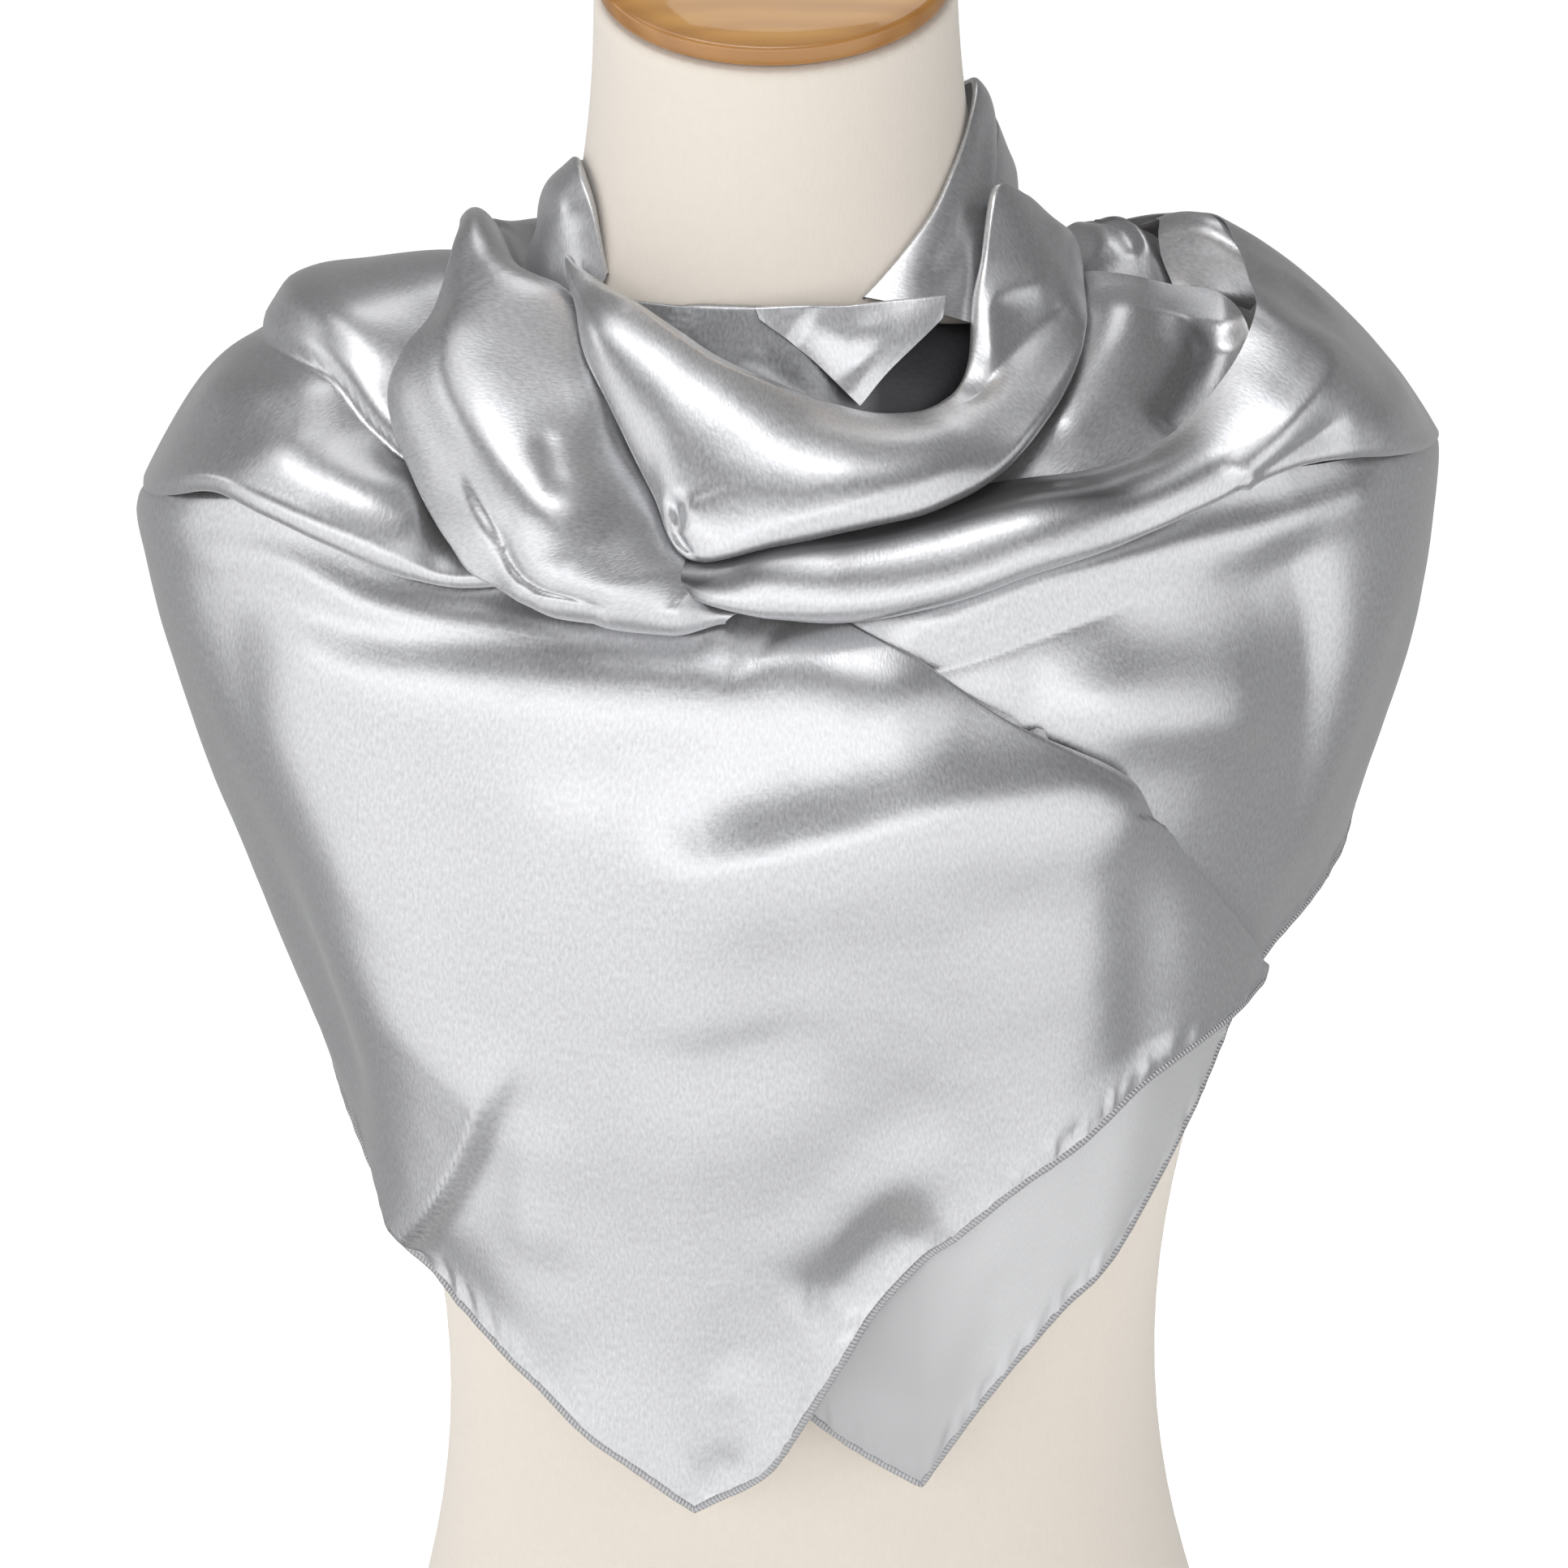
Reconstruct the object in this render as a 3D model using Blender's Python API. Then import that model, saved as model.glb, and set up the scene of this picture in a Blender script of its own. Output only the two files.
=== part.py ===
"""A square satin scarf worn on a limbless dress form.

The scarf is one 0.90 m square folded corner to corner.  Its point hangs down the front of the form,
its two ends go round behind the neck, cross there and come forward again as loose cowls.
Each stretch of it that shows is a cloth wall of its own, lofted through sections round the neck.

Frame: metres, +Z up, the viewer in front looks along +Y.  The origin is the centre of the form's
flat underside.  A section is given by its upper and its lower edge: how far it is turned round the
neck from the front (degrees, positive towards +X), its reach out from the Z axis and its height.
"""

import math

import bpy
import numpy as np

MM = 0.001

# Driving dimensions
CLOTH_WALL = 1.2 * MM
SEAM_GAP = 0.3 * MM
ROLL_STEPS = 2
FORM_SEGMENTS = 40
FORM_RING_STEPS = 2
CAP_RADIUS = 56.0 * MM
CAP_RIM = 7.0 * MM
CAP_DOME = 4.0 * MM
CAP_ROUNDING = 2.2 * MM
CAP_SEGMENTS = 40
CAP_ROUNDING_STEPS = 3
CAP_DOME_RINGS = (0.66, 0.33)
SHARP_CLOTH_EDGE = math.radians(60)
SHARP_FORM_EDGE = math.radians(50)

# The form, a row for each ring.  A ring is an ellipse about (0, centre); its front is lower than
# its height by rise and its back is higher by as much, so that the neck ends in a slanted plane.
FORM_COLUMNS = ("height", "half_width", "centre", "half_depth", "rise")
FORM_RINGS = [
    (0, 150, 8, 106, 0),
    (40, 148, 8, 105, 0),
    (90, 138, 5, 96, 0),
    (140, 122, 1, 85, 0),
    (194, 115, -2, 77, 0),
    (250, 119, -5, 85, 0),
    (305, 133, -10, 101, 0),
    (355, 149, -13, 113, 0),
    (405, 160, -8, 111, 0),
    (455, 174, 0, 100, 0),
    (495, 179, 3, 91, 0),
    (525, 163, 2, 82, 0),
    (548, 118, -2, 74, 0),
    (563, 82, -5, 68, 0),
    (578, 67, -7, 64, 2),
    (600, 62, -9, 60, 6),
    (630, 58, -12, 56, 14),
    (658, 57, -15, 53, 20),
]

# The scarf, a table for each stretch and a row for each section.
# swell_out and swell_up bow a section away from the straight line between its two edges;
# top_roll and low_roll are the radius to which its edges are rolled in, where they are.
SECTION_COLUMNS = (
    "top_turn", "top_reach", "top_height",
    "low_turn", "low_reach", "low_height",
    "swell_out", "swell_up", "top_roll", "low_roll",
)

# Outer front panel: from behind the left shoulder across the chest to its folded right corner.
FRONT_PANEL = [
    (-206, 110, 528, -206, 112, 519, 1, 0, 1, 0),
    (-191, 109, 533, -191, 113, 502, 2, 0, 1, 0),
    (-176, 109, 536, -176, 113, 478, 2, 0, 1, 0),
    (-158, 112, 532, -158, 119, 452, 4, 0, 1, 0),
    (-140, 130, 521, -140, 131, 418, 6, 0, 2, 0),
    (-124, 151, 510, -124, 145, 382, 8, 0, 4, 0),
    (-110, 175, 506, -111, 152, 352, 10, 0, 6, 0),
    (-97, 197, 499, -99, 153, 328, 9, 0, 7, 0),
    (-84, 207.5, 500, -88, 152, 312, 8, 0, 7, 0),
    (-72, 197, 507, -78, 149, 298, 13, 0, 7, 0),
    (-61, 175, 512, -68, 147, 283, 17, 0, 6, 0),
    (-50, 154, 499, -57, 148, 262, 20, 0, 4, 0),
    (-39, 138, 493, -46, 142, 240, 23, 0, 3, 0),
    (-27, 131, 490, -35, 133, 218, 27, 0, 2, 0),
    (-16, 126, 488, -25, 123, 200, 29, 0, 1, 0),
    (-7, 125.4, 486, -17.6, 117, 187, 31, 0, 1, 0),
    (1, 126.4, 487.5, -6, 115, 201, 32, 0, 1, 0),
    (7, 134.5, 480.5, 1, 116, 221, 29, 0, 1, 0),
    (16, 147, 467, 13, 123, 259, 20, 0, 1, 0),
    (25, 157, 449, 27, 138, 291, 11, 0, 1, 0),
    (34.5, 163, 431, 37, 147, 308, 7, 0, 1, 0),
    (42, 165, 412, 45, 153, 324, 4, 0, 1, 0),
    (53, 165, 383, 55, 159, 335, 2, 0, 1, 0),
    (67, 163, 349, 67.5, 162, 344, 0, 0, 0.5, 0),
]

# Inner front panel: shows its wrong side below the right hem of the outer one.
UNDER_PANEL = [
    (-26, 138, 404, -22, 121, 262, 2, 0),
    (-12, 135, 406, -9, 109, 234, 3, 0),
    (0, 134, 407, 1.3, 104, 215, 4, 0),
    (9, 134, 407, 8.4, 103, 204, 4, 0),
    (19, 137, 405, 20.2, 107, 190, 5, 0),
    (29, 143, 402, 28.3, 114, 214, 5, 0),
    (39, 149, 397, 39.2, 127, 245, 4, 0),
    (48, 154, 390, 46.9, 135, 262, 4, 0),
    (57, 152, 380, 56.6, 145, 298, 2, 0),
    (66, 155.5, 372, 66.3, 150, 328, 1, 0),
    (76, 155.7, 376, 76, 154.2, 350, 1, 0),
]

# Right panel: comes from under the folded edge of the front panel, round the right shoulder.
RIGHT_PANEL = [
    (3, 125, 488.4, 9, 141, 448, 2, 0),
    (12, 131, 490.4, 18, 149, 424, 4, 0),
    (22, 137, 494, 27, 153.5, 404, 6, 0),
    (32, 144, 501, 36, 156, 384, 8, 0),
    (42, 154, 508, 46, 156, 362, 10, 0),
    (50, 165, 514, 57, 155.6, 345, 13, 0),
    (58, 181, 516, 65, 155.6, 340, 14, 0),
    (68, 198, 513, 71, 160, 351, 13, 0),
    (78, 207.5, 508, 79, 170, 363, 9, 0),
    (89, 206, 506, 89, 180, 376, 8, 0),
    (100, 195, 507, 100, 186, 395, 7, 0),
    (112, 174, 510, 112, 175, 413, 7, 0),
    (126, 148, 517, 126, 156, 432, 5, 0),
    (142, 131, 522, 142, 136, 450, 4, 0),
    (160, 119, 527, 160, 123, 468, 3, 0),
    (177, 114, 529, 177, 119, 486, 2, 0),
    (193, 115, 528, 193, 120, 505, 2, 0),
    (207, 121, 523, 207, 123.5, 515, 1, 0),
]

# Left shoulder: a broad roll over the shoulder, turned under on the front panel.
LEFT_SHOULDER = [
    (-190, 90, 548, -190, 107, 541, 2, 2, 0, 2),
    (-172, 90, 548, -172, 121, 531, 3, 3, 0, 2),
    (-150, 90, 552, -150, 129, 526, 5, 4, 0, 2),
    (-134, 93, 556, -134, 144, 522, 6, 7, 0, 3),
    (-120, 95, 561, -120, 163, 513, 8, 13, 0, 4),
    (-106, 95, 567, -106, 186, 506, 9, 19, 0, 4),
    (-94, 95, 570, -94, 204, 502.5, 10, 22, 0, 4),
    (-84, 95, 570, -83, 206.5, 503, 10, 20, 0, 4),
    (-75, 96, 567, -73, 204, 511, 8, 13, 0, 4),
    (-67, 100, 557, -65, 198, 516, 6, 8, 0, 4),
    (-60, 108, 545.5, -58, 189, 512.5, 6, 2, 0, 4),
    (-53, 116, 527, -51, 176, 503, 6, 4, 0, 4),
    (-45, 122, 511, -43, 155, 490, 5, 2, 0, 3),
    (-35, 121, 506, -34, 140, 490.8, 4, 1, 0, 3),
    (-25, 122, 503, -27, 136, 492, 3, 2, 0, 3),
]

# Right shoulder roll: a long fold that widens from the middle of the chest over the shoulder.
RIGHT_ROLL = [
    (-13, 131, 500.5, -13.5, 141.5, 491, 2, 1, 0, 3),
    (-8, 126, 504, -9, 142.5, 486.5, 4, 1, 0, 3),
    (0, 124, 509, -1, 143, 482.5, 5, 1, 0, 4),
    (10, 124, 512, 8, 143, 481, 5, 1, 0, 4),
    (21, 125, 515, 19, 147, 485, 6, 2, 0, 4),
    (31, 132, 518, 29, 153, 492.5, 6, 3, 0, 4),
    (41, 144, 521, 39, 162, 498, 7, 4, 0, 4),
    (50, 156, 530, 48, 175, 507.5, 7, 5, 0, 4),
    (57, 164, 547, 56, 190, 516, 8, 6, 0, 4),
    (63, 164, 562, 64, 204, 519, 6, 7, 0, 4),
    (71, 156, 568, 73, 210.5, 515.5, 5, 6, 0, 3),
    (79, 150, 576, 81, 212, 511, 4, 5, 0, 2),
    (88, 143, 580, 89, 210, 509, 4, 5, 0, 2),
    (99, 127, 577, 99, 202, 510, 5, 8, 0, 3),
    (110, 114, 571, 110, 185, 514, 6, 10, 0, 4),
    (121, 106, 564, 121, 164, 519, 6, 9, 0, 3),
    (134, 103, 559, 134, 148, 523, 5, 6, 0, 3),
    (150, 98, 557, 150, 134, 528, 4, 4, 0, 2),
    (168, 96, 556, 168, 127, 532, 3, 3, 0, 2),
    (184, 96, 555, 184, 127, 535, 3, 3, 0, 2),
    (200, 96, 555, 200, 125, 540, 3, 3, 0, 2),
    (216, 97, 557, 216, 112, 554, 1, 1, 0, 2),
]

# Left cowl: a soft swathe from behind the neck, over the shoulder and down to the middle.
LEFT_COWL = [
    (-172, 89, 562, -172, 101, 559, 2, 3, 0, 2),
    (-151, 86, 562, -151, 104, 559, 3, 4, 0, 2),
    (-130, 84, 563, -130, 107, 564, 3, 7, 0, 2),
    (-110, 83.5, 562.5, -110, 106, 572, 2, 10, 0, 2),
    (-93, 84, 565.5, -93, 103, 580, 1, 12, 0, 2),
    (-77, 84.5, 568, -80, 104, 582, 1, 10, 0, 3),
    (-60, 85.5, 568, -71, 111, 576, 3, 7, 0, 3),
    (-45, 85.5, 563, -65, 121, 562, 5, 5, 0, 3),
    (-34, 89, 552, -63, 134, 552, 8, 6, 0, 3),
    (-26, 95, 541, -59.5, 143.5, 539, 10, 7, 0, 2),
    (-20, 104, 528, -50, 151, 520, 11, 7, 0, 1.5),
    (-15, 113, 515, -41.5, 157, 503, 11, 6, 0, 1.5),
    (-11, 118, 505, -37, 155.5, 492, 9, 4, 0, 2),
    (-8, 121, 497, -27, 150, 488, 4, 2, 0, 3),
    (-4, 121, 492, -17, 140, 482.5, 2, 1, 0, 3),
    (3, 122, 491, -8, 138, 481, 2, 1, 0, 3),
]

# Front cowl: hangs in front of the neck and rises round its right side to the back.
FRONT_COWL = [
    (-53, 83, 580, -50, 87, 574, 1, 1, 3, 2),
    (-43, 85, 576, -38, 100, 561, 3, 2, 3, 2),
    (-31, 88, 570, -28, 114, 543, 5, 4, 3, 3),
    (-20, 92, 563, -19, 127, 516, 7, 6, 4, 3),
    (-11, 96, 555, -13, 139, 499, 7, 7, 4, 3),
    (-1, 99, 548, -1, 137, 504, 7, 7, 4, 3),
    (8, 102, 542, 8, 137, 508, 7, 6, 4, 3),
    (17, 105, 538, 19, 137, 512, 6, 5, 4, 3),
    (26, 105, 540, 29, 135, 521, 4, 3, 4, 3),
    (34, 100, 550, 38, 130, 536, 2, 0, 3, 3),
    (43, 90, 573, 48, 121, 547, 0, -3, 2, 2),
    (54, 83, 598, 59, 111, 556, 1, -3, 2, 2),
    (66, 84, 594, 70, 102, 563, 1, 0, 2, 2),
    (80, 85, 584, 82, 97, 564, 2, 1, 2, 2),
    (98, 86, 576, 98, 96, 560, 2, 1, 2, 2),
    (118, 85, 572, 118, 96, 556, 2, 1, 2, 2),
    (140, 83, 571, 140, 96, 555, 2, 1, 2, 2),
    (162, 82, 571, 162, 93, 557, 2, 1, 2, 2),
    (184, 80.5, 573, 184, 85.5, 563, 1, 1, 2, 2),
    (204, 79, 575, 204, 82.5, 565, 1, 1, 2, 2),
]

# Neck wrap: lies along the right side of the neck down to the throat.
NECK_WRAP = [
    (19, 75.6, 568, 39, 92, 559, 1, 1),
    (29, 73.1, 578, 45, 88, 566, 1, 1),
    (41, 71, 590, 51, 83, 576, 1, 1),
    (53, 68, 603, 59, 78, 588, 1, 1),
    (69, 65, 617, 68, 74, 600, 1, 1),
    (86, 63, 625, 86, 69, 613, 1, 1),
    (104, 61, 622, 104, 68, 613, 1, 1),
    (125, 61, 616, 125, 70, 602, 1, 1),
    (150, 60, 611, 150, 70, 594, 1, 1),
    (172, 57.5, 608, 172, 65.5, 598, 1, 1),
    (192, 56, 606, 192, 61, 600, 1, 1),
]

# Neck flap: the corner of the wrap that is turned down over its front edge.
NECK_FLAP = [
    (-6, 78.6, 566.5, -5, 80.6, 563, 0, 0),
    (5, 79.4, 567, 5.5, 85.4, 552, 0, 0),
    (14, 81.4, 567, 14.7, 92.4, 537, 1, 0),
    (24, 84.4, 568, 21, 92.9, 548, 1, 0),
    (34, 90.4, 568.5, 32, 93.4, 562, 0, 0),
]

# Neck roll: the wrap's outer turn, open in front.
NECK_ROLL = [
    (62, 74.5, 589, 64, 79, 574, 0, 0),
    (75, 70.2, 602, 77, 77, 575, 2, 0),
    (90, 69.6, 610, 92, 76, 578, 2, 0),
    (106, 69.6, 612, 108, 76, 582, 2, 0),
    (126, 73.5, 608, 128, 77, 582, 2, 0),
    (148, 74, 601, 150, 79, 580, 2, 0),
    (172, 73, 599, 172, 79, 582, 2, 0),
    (190, 73, 600, 190, 79, 590, 2, 0),
    (202, 74, 598, 202, 77, 593, 1, 0),
]

# Inner cowl: the dark layer that shows between the throat and the front cowl's lip.
INNER_COWL = [
    (-40, 79, 568, -40, 83, 560, 1, 0),
    (-30, 78, 567, -30, 84, 549, 1, 0),
    (-18, 77, 566, -18, 85, 539, 1, 0),
    (-5, 77, 566, -5, 86, 530, 1, 0),
    (7, 77, 565, 7, 87, 525, 1, 0),
    (18, 77, 563, 18, 89, 524, 1, 0),
    (28, 79, 560, 28, 92, 526, 1, 0),
    (38, 84, 558, 38, 96, 533, 1, 0),
    (46, 90, 558, 46, 101, 543, 2, 0),
]

# Right valley: falls from the crease behind the front cowl to the middle of the chest.
RIGHT_VALLEY = [
    (84, 92, 560, 22, 107, 516, 2, 10),
    (80, 98, 565, 26, 116, 512, 3, 9),
    (79, 112, 564.5, 32, 125, 510, 4, 9),
    (80, 126, 561, 38, 135, 509, 5, 8),
    (80, 139, 559, 46, 147, 512, 3, 6),
    (72, 152, 554, 53, 160, 519, 0, 2),
    (64, 163, 540, 58, 171, 523, 0, 0),
]

# Shoulder pleat: a fold that stands behind the valley, over the top of the right shoulder.
SHOULDER_PLEAT = [
    (125, 95.6, 560, 86, 96.4, 560, 0, 2),
    (124, 98.5, 562, 84, 101, 561, 0, 7),
    (122, 100, 563, 83, 107, 561, 0, 10),
    (119, 103, 564, 82.5, 114, 560, 0, 12),
    (112, 108, 567, 83, 121, 558, 0, 13),
    (106, 117, 557, 84, 132, 550, 0, 6),
]

# Shoulder fold: a lobe that stands on the valley's crease beside the end of the right roll.
SHOULDER_FOLD = [
    (83, 126, 557, 80, 147, 556, 0, 1),
    (87.5, 121.5, 566, 80, 151, 563, 0, 4),
    (90, 120.5, 573, 82, 151, 570, 0, 5),
    (94, 121.5, 576.5, 87, 149, 572.5, 0, 5),
    (99, 119, 574, 95, 136.5, 571.8, 0, 4),
    (106, 115, 569, 103, 125, 568, 0, 2),
]

# Left collar: the end that comes round from the back and stands against the left of the neck.
LEFT_COLLAR = [
    (-180, 63, 602, -180, 74, 586, 2, 1),
    (-158, 64, 599, -158, 77, 580, 2, 1),
    (-136, 65, 597, -136, 80, 571, 2, 1),
    (-114, 65, 598, -114, 81, 568, 2, 1),
    (-98, 64.5, 600, -98, 81.5, 569, 2, 3),
    (-85, 65, 603, -86, 82, 567, 2, 4),
    (-73, 67, 605, -74, 82, 566, 2, 4),
    (-62, 70, 601, -62, 83, 565, 1, 3),
    (-54, 71.5, 591, -54, 82.5, 563.5, 1, 1),
    (-46, 75, 574, -47, 81, 563, 0, 0),
]

# node: its table, the rows at which an edge turns sharply, steps between rows and across,
# the share of a section at which it bows out most, and how far its edges are rolled in (degrees)
STRETCHES = {
    "scarf_front_panel": dict(rows=FRONT_PANEL, corners=(15, 17), along=2, across=7, crest=0.33,
                              top_arc=90),
    "scarf_under_panel": dict(rows=UNDER_PANEL, corners=(4,), along=1, across=6, crest=0.5),
    "scarf_right_panel": dict(rows=RIGHT_PANEL, corners=(6,), along=2, across=6, crest=0.4),
    "scarf_left_shoulder": dict(rows=LEFT_SHOULDER, along=2, across=8, crest=0.5, low_arc=110),
    "scarf_right_roll": dict(rows=RIGHT_ROLL, along=2, across=7, crest=0.5, low_arc=110),
    "scarf_left_cowl": dict(rows=LEFT_COWL, along=1, across=6, crest=0.5, low_arc=110),
    "scarf_front_cowl": dict(rows=FRONT_COWL, along=1, across=6, crest=0.5, top_arc=150, low_arc=100),
    "scarf_neck_wrap": dict(rows=NECK_WRAP, along=1, across=3, crest=0.5),
    "scarf_neck_flap": dict(rows=NECK_FLAP, corners=(2,), along=2, across=4, crest=0.5),
    "scarf_neck_roll": dict(rows=NECK_ROLL, along=2, across=4, crest=0.5),
    "scarf_inner_cowl": dict(rows=INNER_COWL, along=1, across=4, crest=0.5),
    "scarf_right_valley": dict(rows=RIGHT_VALLEY, along=1, across=8, crest=0.5),
    "scarf_shoulder_pleat": dict(rows=SHOULDER_PLEAT, along=2, across=8, crest=0.5),
    "scarf_shoulder_fold": dict(rows=SHOULDER_FOLD, along=2, across=6, crest=0.5),
    "scarf_left_collar": dict(rows=LEFT_COLLAR, along=1, across=4, crest=0.5),
}


def clear_scene():
    for existing in list(bpy.data.objects):
        bpy.data.objects.remove(existing, do_unlink=True)


def make_material(name, colour, roughness, metallic):
    material = bpy.data.materials.new(name)
    material.use_nodes = True
    shader = material.node_tree.nodes["Principled BSDF"]
    shader.inputs["Base Color"].default_value = (*colour, 1.0)
    shader.inputs["Roughness"].default_value = roughness
    shader.inputs["Metallic"].default_value = metallic
    material.diffuse_color = (*colour, 1.0)
    return material


def smooth_rows(rows, steps, corners=()):
    """Catmull-Rom curve through the rows of a table, with a break at each corner row."""
    values = np.array(rows, dtype=float)
    breaks = [0, *corners, len(values) - 1]
    out = [values[0]]
    for first, last in zip(breaks[:-1], breaks[1:]):
        piece = values[first:last + 1]
        before = 2 * piece[0] - piece[1]
        after = 2 * piece[-1] - piece[-2]
        padded = np.vstack([before, piece, after])
        for index in range(1, len(padded) - 2):
            p0, p1, p2, p3 = padded[index - 1:index + 3]
            for step in range(1, steps + 1):
                t = step / steps
                curve = 2 * p1 + (p2 - p0) * t
                curve = curve + (2 * p0 - 5 * p1 + 4 * p2 - p3) * t ** 2
                curve = curve + (3 * p1 - p0 - 3 * p2 + p3) * t ** 3
                out.append(curve / 2)
    return np.array(out)


def unit(vectors):
    lengths = np.linalg.norm(vectors, axis=-1, keepdims=True)
    return vectors / np.maximum(lengths, 1e-9)


def grid_normals(points):
    """Normals of a grid of points whose first index runs along a stretch and second across it."""
    along = np.gradient(points, axis=0)
    across = np.gradient(points, axis=1)
    return unit(np.cross(across, along))


def named_columns(sections):
    """Each column of a section table by its name; tables without rolled edges leave those out."""
    missing = len(SECTION_COLUMNS) - sections.shape[1]
    full = np.pad(sections, ((0, 0), (0, missing)))
    return {name: full[:, index:index + 1] for index, name in enumerate(SECTION_COLUMNS)}


def face_points(column, across, crest):
    """The visible face of a stretch, short of its rolled edges by their radius."""
    turn_span = np.radians(column["low_turn"] - column["top_turn"])
    reach_span = column["low_reach"] - column["top_reach"]
    drop = column["low_height"] - column["top_height"]
    sweep = turn_span * (column["top_reach"] + column["low_reach"]) / 2
    length = np.sqrt(sweep ** 2 + reach_span ** 2 + drop ** 2)
    start = column["top_roll"] / length
    end = 1 - column["low_roll"] / length
    t = start + (end - start) * np.linspace(0, 1, across + 1)[None, :]
    power = (1 - crest) / crest
    bow = t * (1 - t) ** power / (crest * (1 - crest) ** power)
    turn = np.radians(column["top_turn"]) + turn_span * t
    reach = column["top_reach"] + reach_span * t + column["swell_out"] * bow
    height = column["top_height"] + drop * t + column["swell_up"] * bow
    return np.stack([reach * np.sin(turn), -reach * np.cos(turn), height], axis=-1) * MM


def rolled_edge(edge, outward, inward, radius, arc, steps):
    """Columns of points that roll an edge in through an arc of the given radius."""
    columns = []
    for step in range(1, steps + 1):
        angle = math.radians(arc) * step / steps
        columns.append(edge + radius * (inward * (1 - math.cos(angle)) + outward * math.sin(angle)))
    return columns


def stretch_grid(rows, along, across, crest, roll_steps, corners=(), top_arc=0, low_arc=0):
    """Grid of points over a stretch, first index along it and second from upper to lower edge."""
    column = named_columns(smooth_rows(rows, along, corners))
    face = face_points(column, across, crest)
    inward = -grid_normals(face)
    columns = [face[:, index] for index in range(face.shape[1])]
    if top_arc:
        outward = unit(face[:, 0] - face[:, 1])
        radius = column["top_roll"] * MM
        rim = rolled_edge(face[:, 0], outward, inward[:, 0], radius, top_arc, roll_steps)
        columns = rim[::-1] + columns
    if low_arc:
        outward = unit(face[:, -1] - face[:, -2])
        radius = column["low_roll"] * MM
        columns += rolled_edge(face[:, -1], outward, inward[:, -1], radius, low_arc, roll_steps)
    return np.stack(columns, axis=1)


def wall_mesh(name, outer, inner):
    """A closed wall between two grids of points."""
    rows, columns = outer.shape[:2]
    count = rows * columns
    points = np.concatenate([outer.reshape(-1, 3), inner.reshape(-1, 3)])
    faces = []
    for i in range(rows - 1):
        for j in range(columns - 1):
            a = i * columns + j
            b = a + 1
            c = a + columns + 1
            d = a + columns
            faces.append((a, b, c, d))
            faces.append((count + a, count + d, count + c, count + b))
    rim = [i * columns for i in range(rows)]
    rim += [(rows - 1) * columns + j for j in range(1, columns)]
    rim += [i * columns + columns - 1 for i in range(rows - 2, -1, -1)]
    rim += list(range(columns - 2, 0, -1))
    for a, b in zip(rim, rim[1:] + rim[:1]):
        faces.append((a, b, count + b, count + a))
    mesh = bpy.data.meshes.new(name)
    mesh.from_pydata(points.tolist(), [], faces)
    return mesh


def add_object(name, mesh, material):
    mesh.materials.append(material)
    piece = bpy.data.objects.new(name, mesh)
    bpy.context.collection.objects.link(piece)
    return piece


def make_stretch(name, shape, material):
    """One stretch of the scarf as a cloth wall; its outer side is the table's surface."""
    outer = stretch_grid(roll_steps=ROLL_STEPS, **shape)
    inner = outer - grid_normals(outer) * CLOTH_WALL
    mesh = wall_mesh(name, outer, inner)
    mesh.shade_smooth()
    mesh.set_sharp_from_angle(angle=SHARP_CLOTH_EDGE)
    return add_object(name, mesh, material)


def ring_points(row, segments):
    ring = dict(zip(FORM_COLUMNS, row))
    points = []
    for segment in range(segments):
        turn = 2 * math.pi * segment / segments
        x = ring["half_width"] * math.sin(turn)
        y = ring["centre"] - ring["half_depth"] * math.cos(turn)
        z = ring["height"] - ring["rise"] * math.cos(turn)
        points.append((x * MM, y * MM, z * MM))
    return points


def make_torso(material):
    """The form's body and neck, lofted through its rings and closed flat at both ends."""
    rings = smooth_rows(FORM_RINGS, FORM_RING_STEPS)
    points = []
    for ring in rings:
        points += ring_points(ring, FORM_SEGMENTS)
    faces = [tuple(range(FORM_SEGMENTS - 1, -1, -1))]
    for level in range(len(rings) - 1):
        base = level * FORM_SEGMENTS
        for segment in range(FORM_SEGMENTS):
            after = (segment + 1) % FORM_SEGMENTS
            faces.append((base + segment, base + after,
                          base + FORM_SEGMENTS + after, base + FORM_SEGMENTS + segment))
    last = (len(rings) - 1) * FORM_SEGMENTS
    faces.append(tuple(range(last, last + FORM_SEGMENTS)))
    mesh = bpy.data.meshes.new("form_torso")
    mesh.from_pydata(points, [], faces)
    mesh.shade_smooth()
    mesh.set_sharp_from_angle(angle=SHARP_FORM_EDGE)
    return add_object("form_torso", mesh, material)


def cap_profile():
    """Half section of the turned cap: radius and height, from the middle of its underside."""
    profile = [(CAP_RADIUS - CAP_ROUNDING, 0.0)]
    for step in range(1, CAP_ROUNDING_STEPS + 1):
        angle = math.pi / 2 * step / CAP_ROUNDING_STEPS
        profile.append((CAP_RADIUS - CAP_ROUNDING * (1 - math.sin(angle)),
                        CAP_ROUNDING * (1 - math.cos(angle))))
    for step in range(CAP_ROUNDING_STEPS + 1):
        angle = math.pi / 2 * step / CAP_ROUNDING_STEPS
        profile.append((CAP_RADIUS - CAP_ROUNDING * (1 - math.cos(angle)),
                        CAP_RIM - CAP_ROUNDING * (1 - math.sin(angle))))
    for share in CAP_DOME_RINGS:
        profile.append((CAP_RADIUS * share, CAP_RIM + CAP_DOME * (1 - share ** 2)))
    return profile


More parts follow.
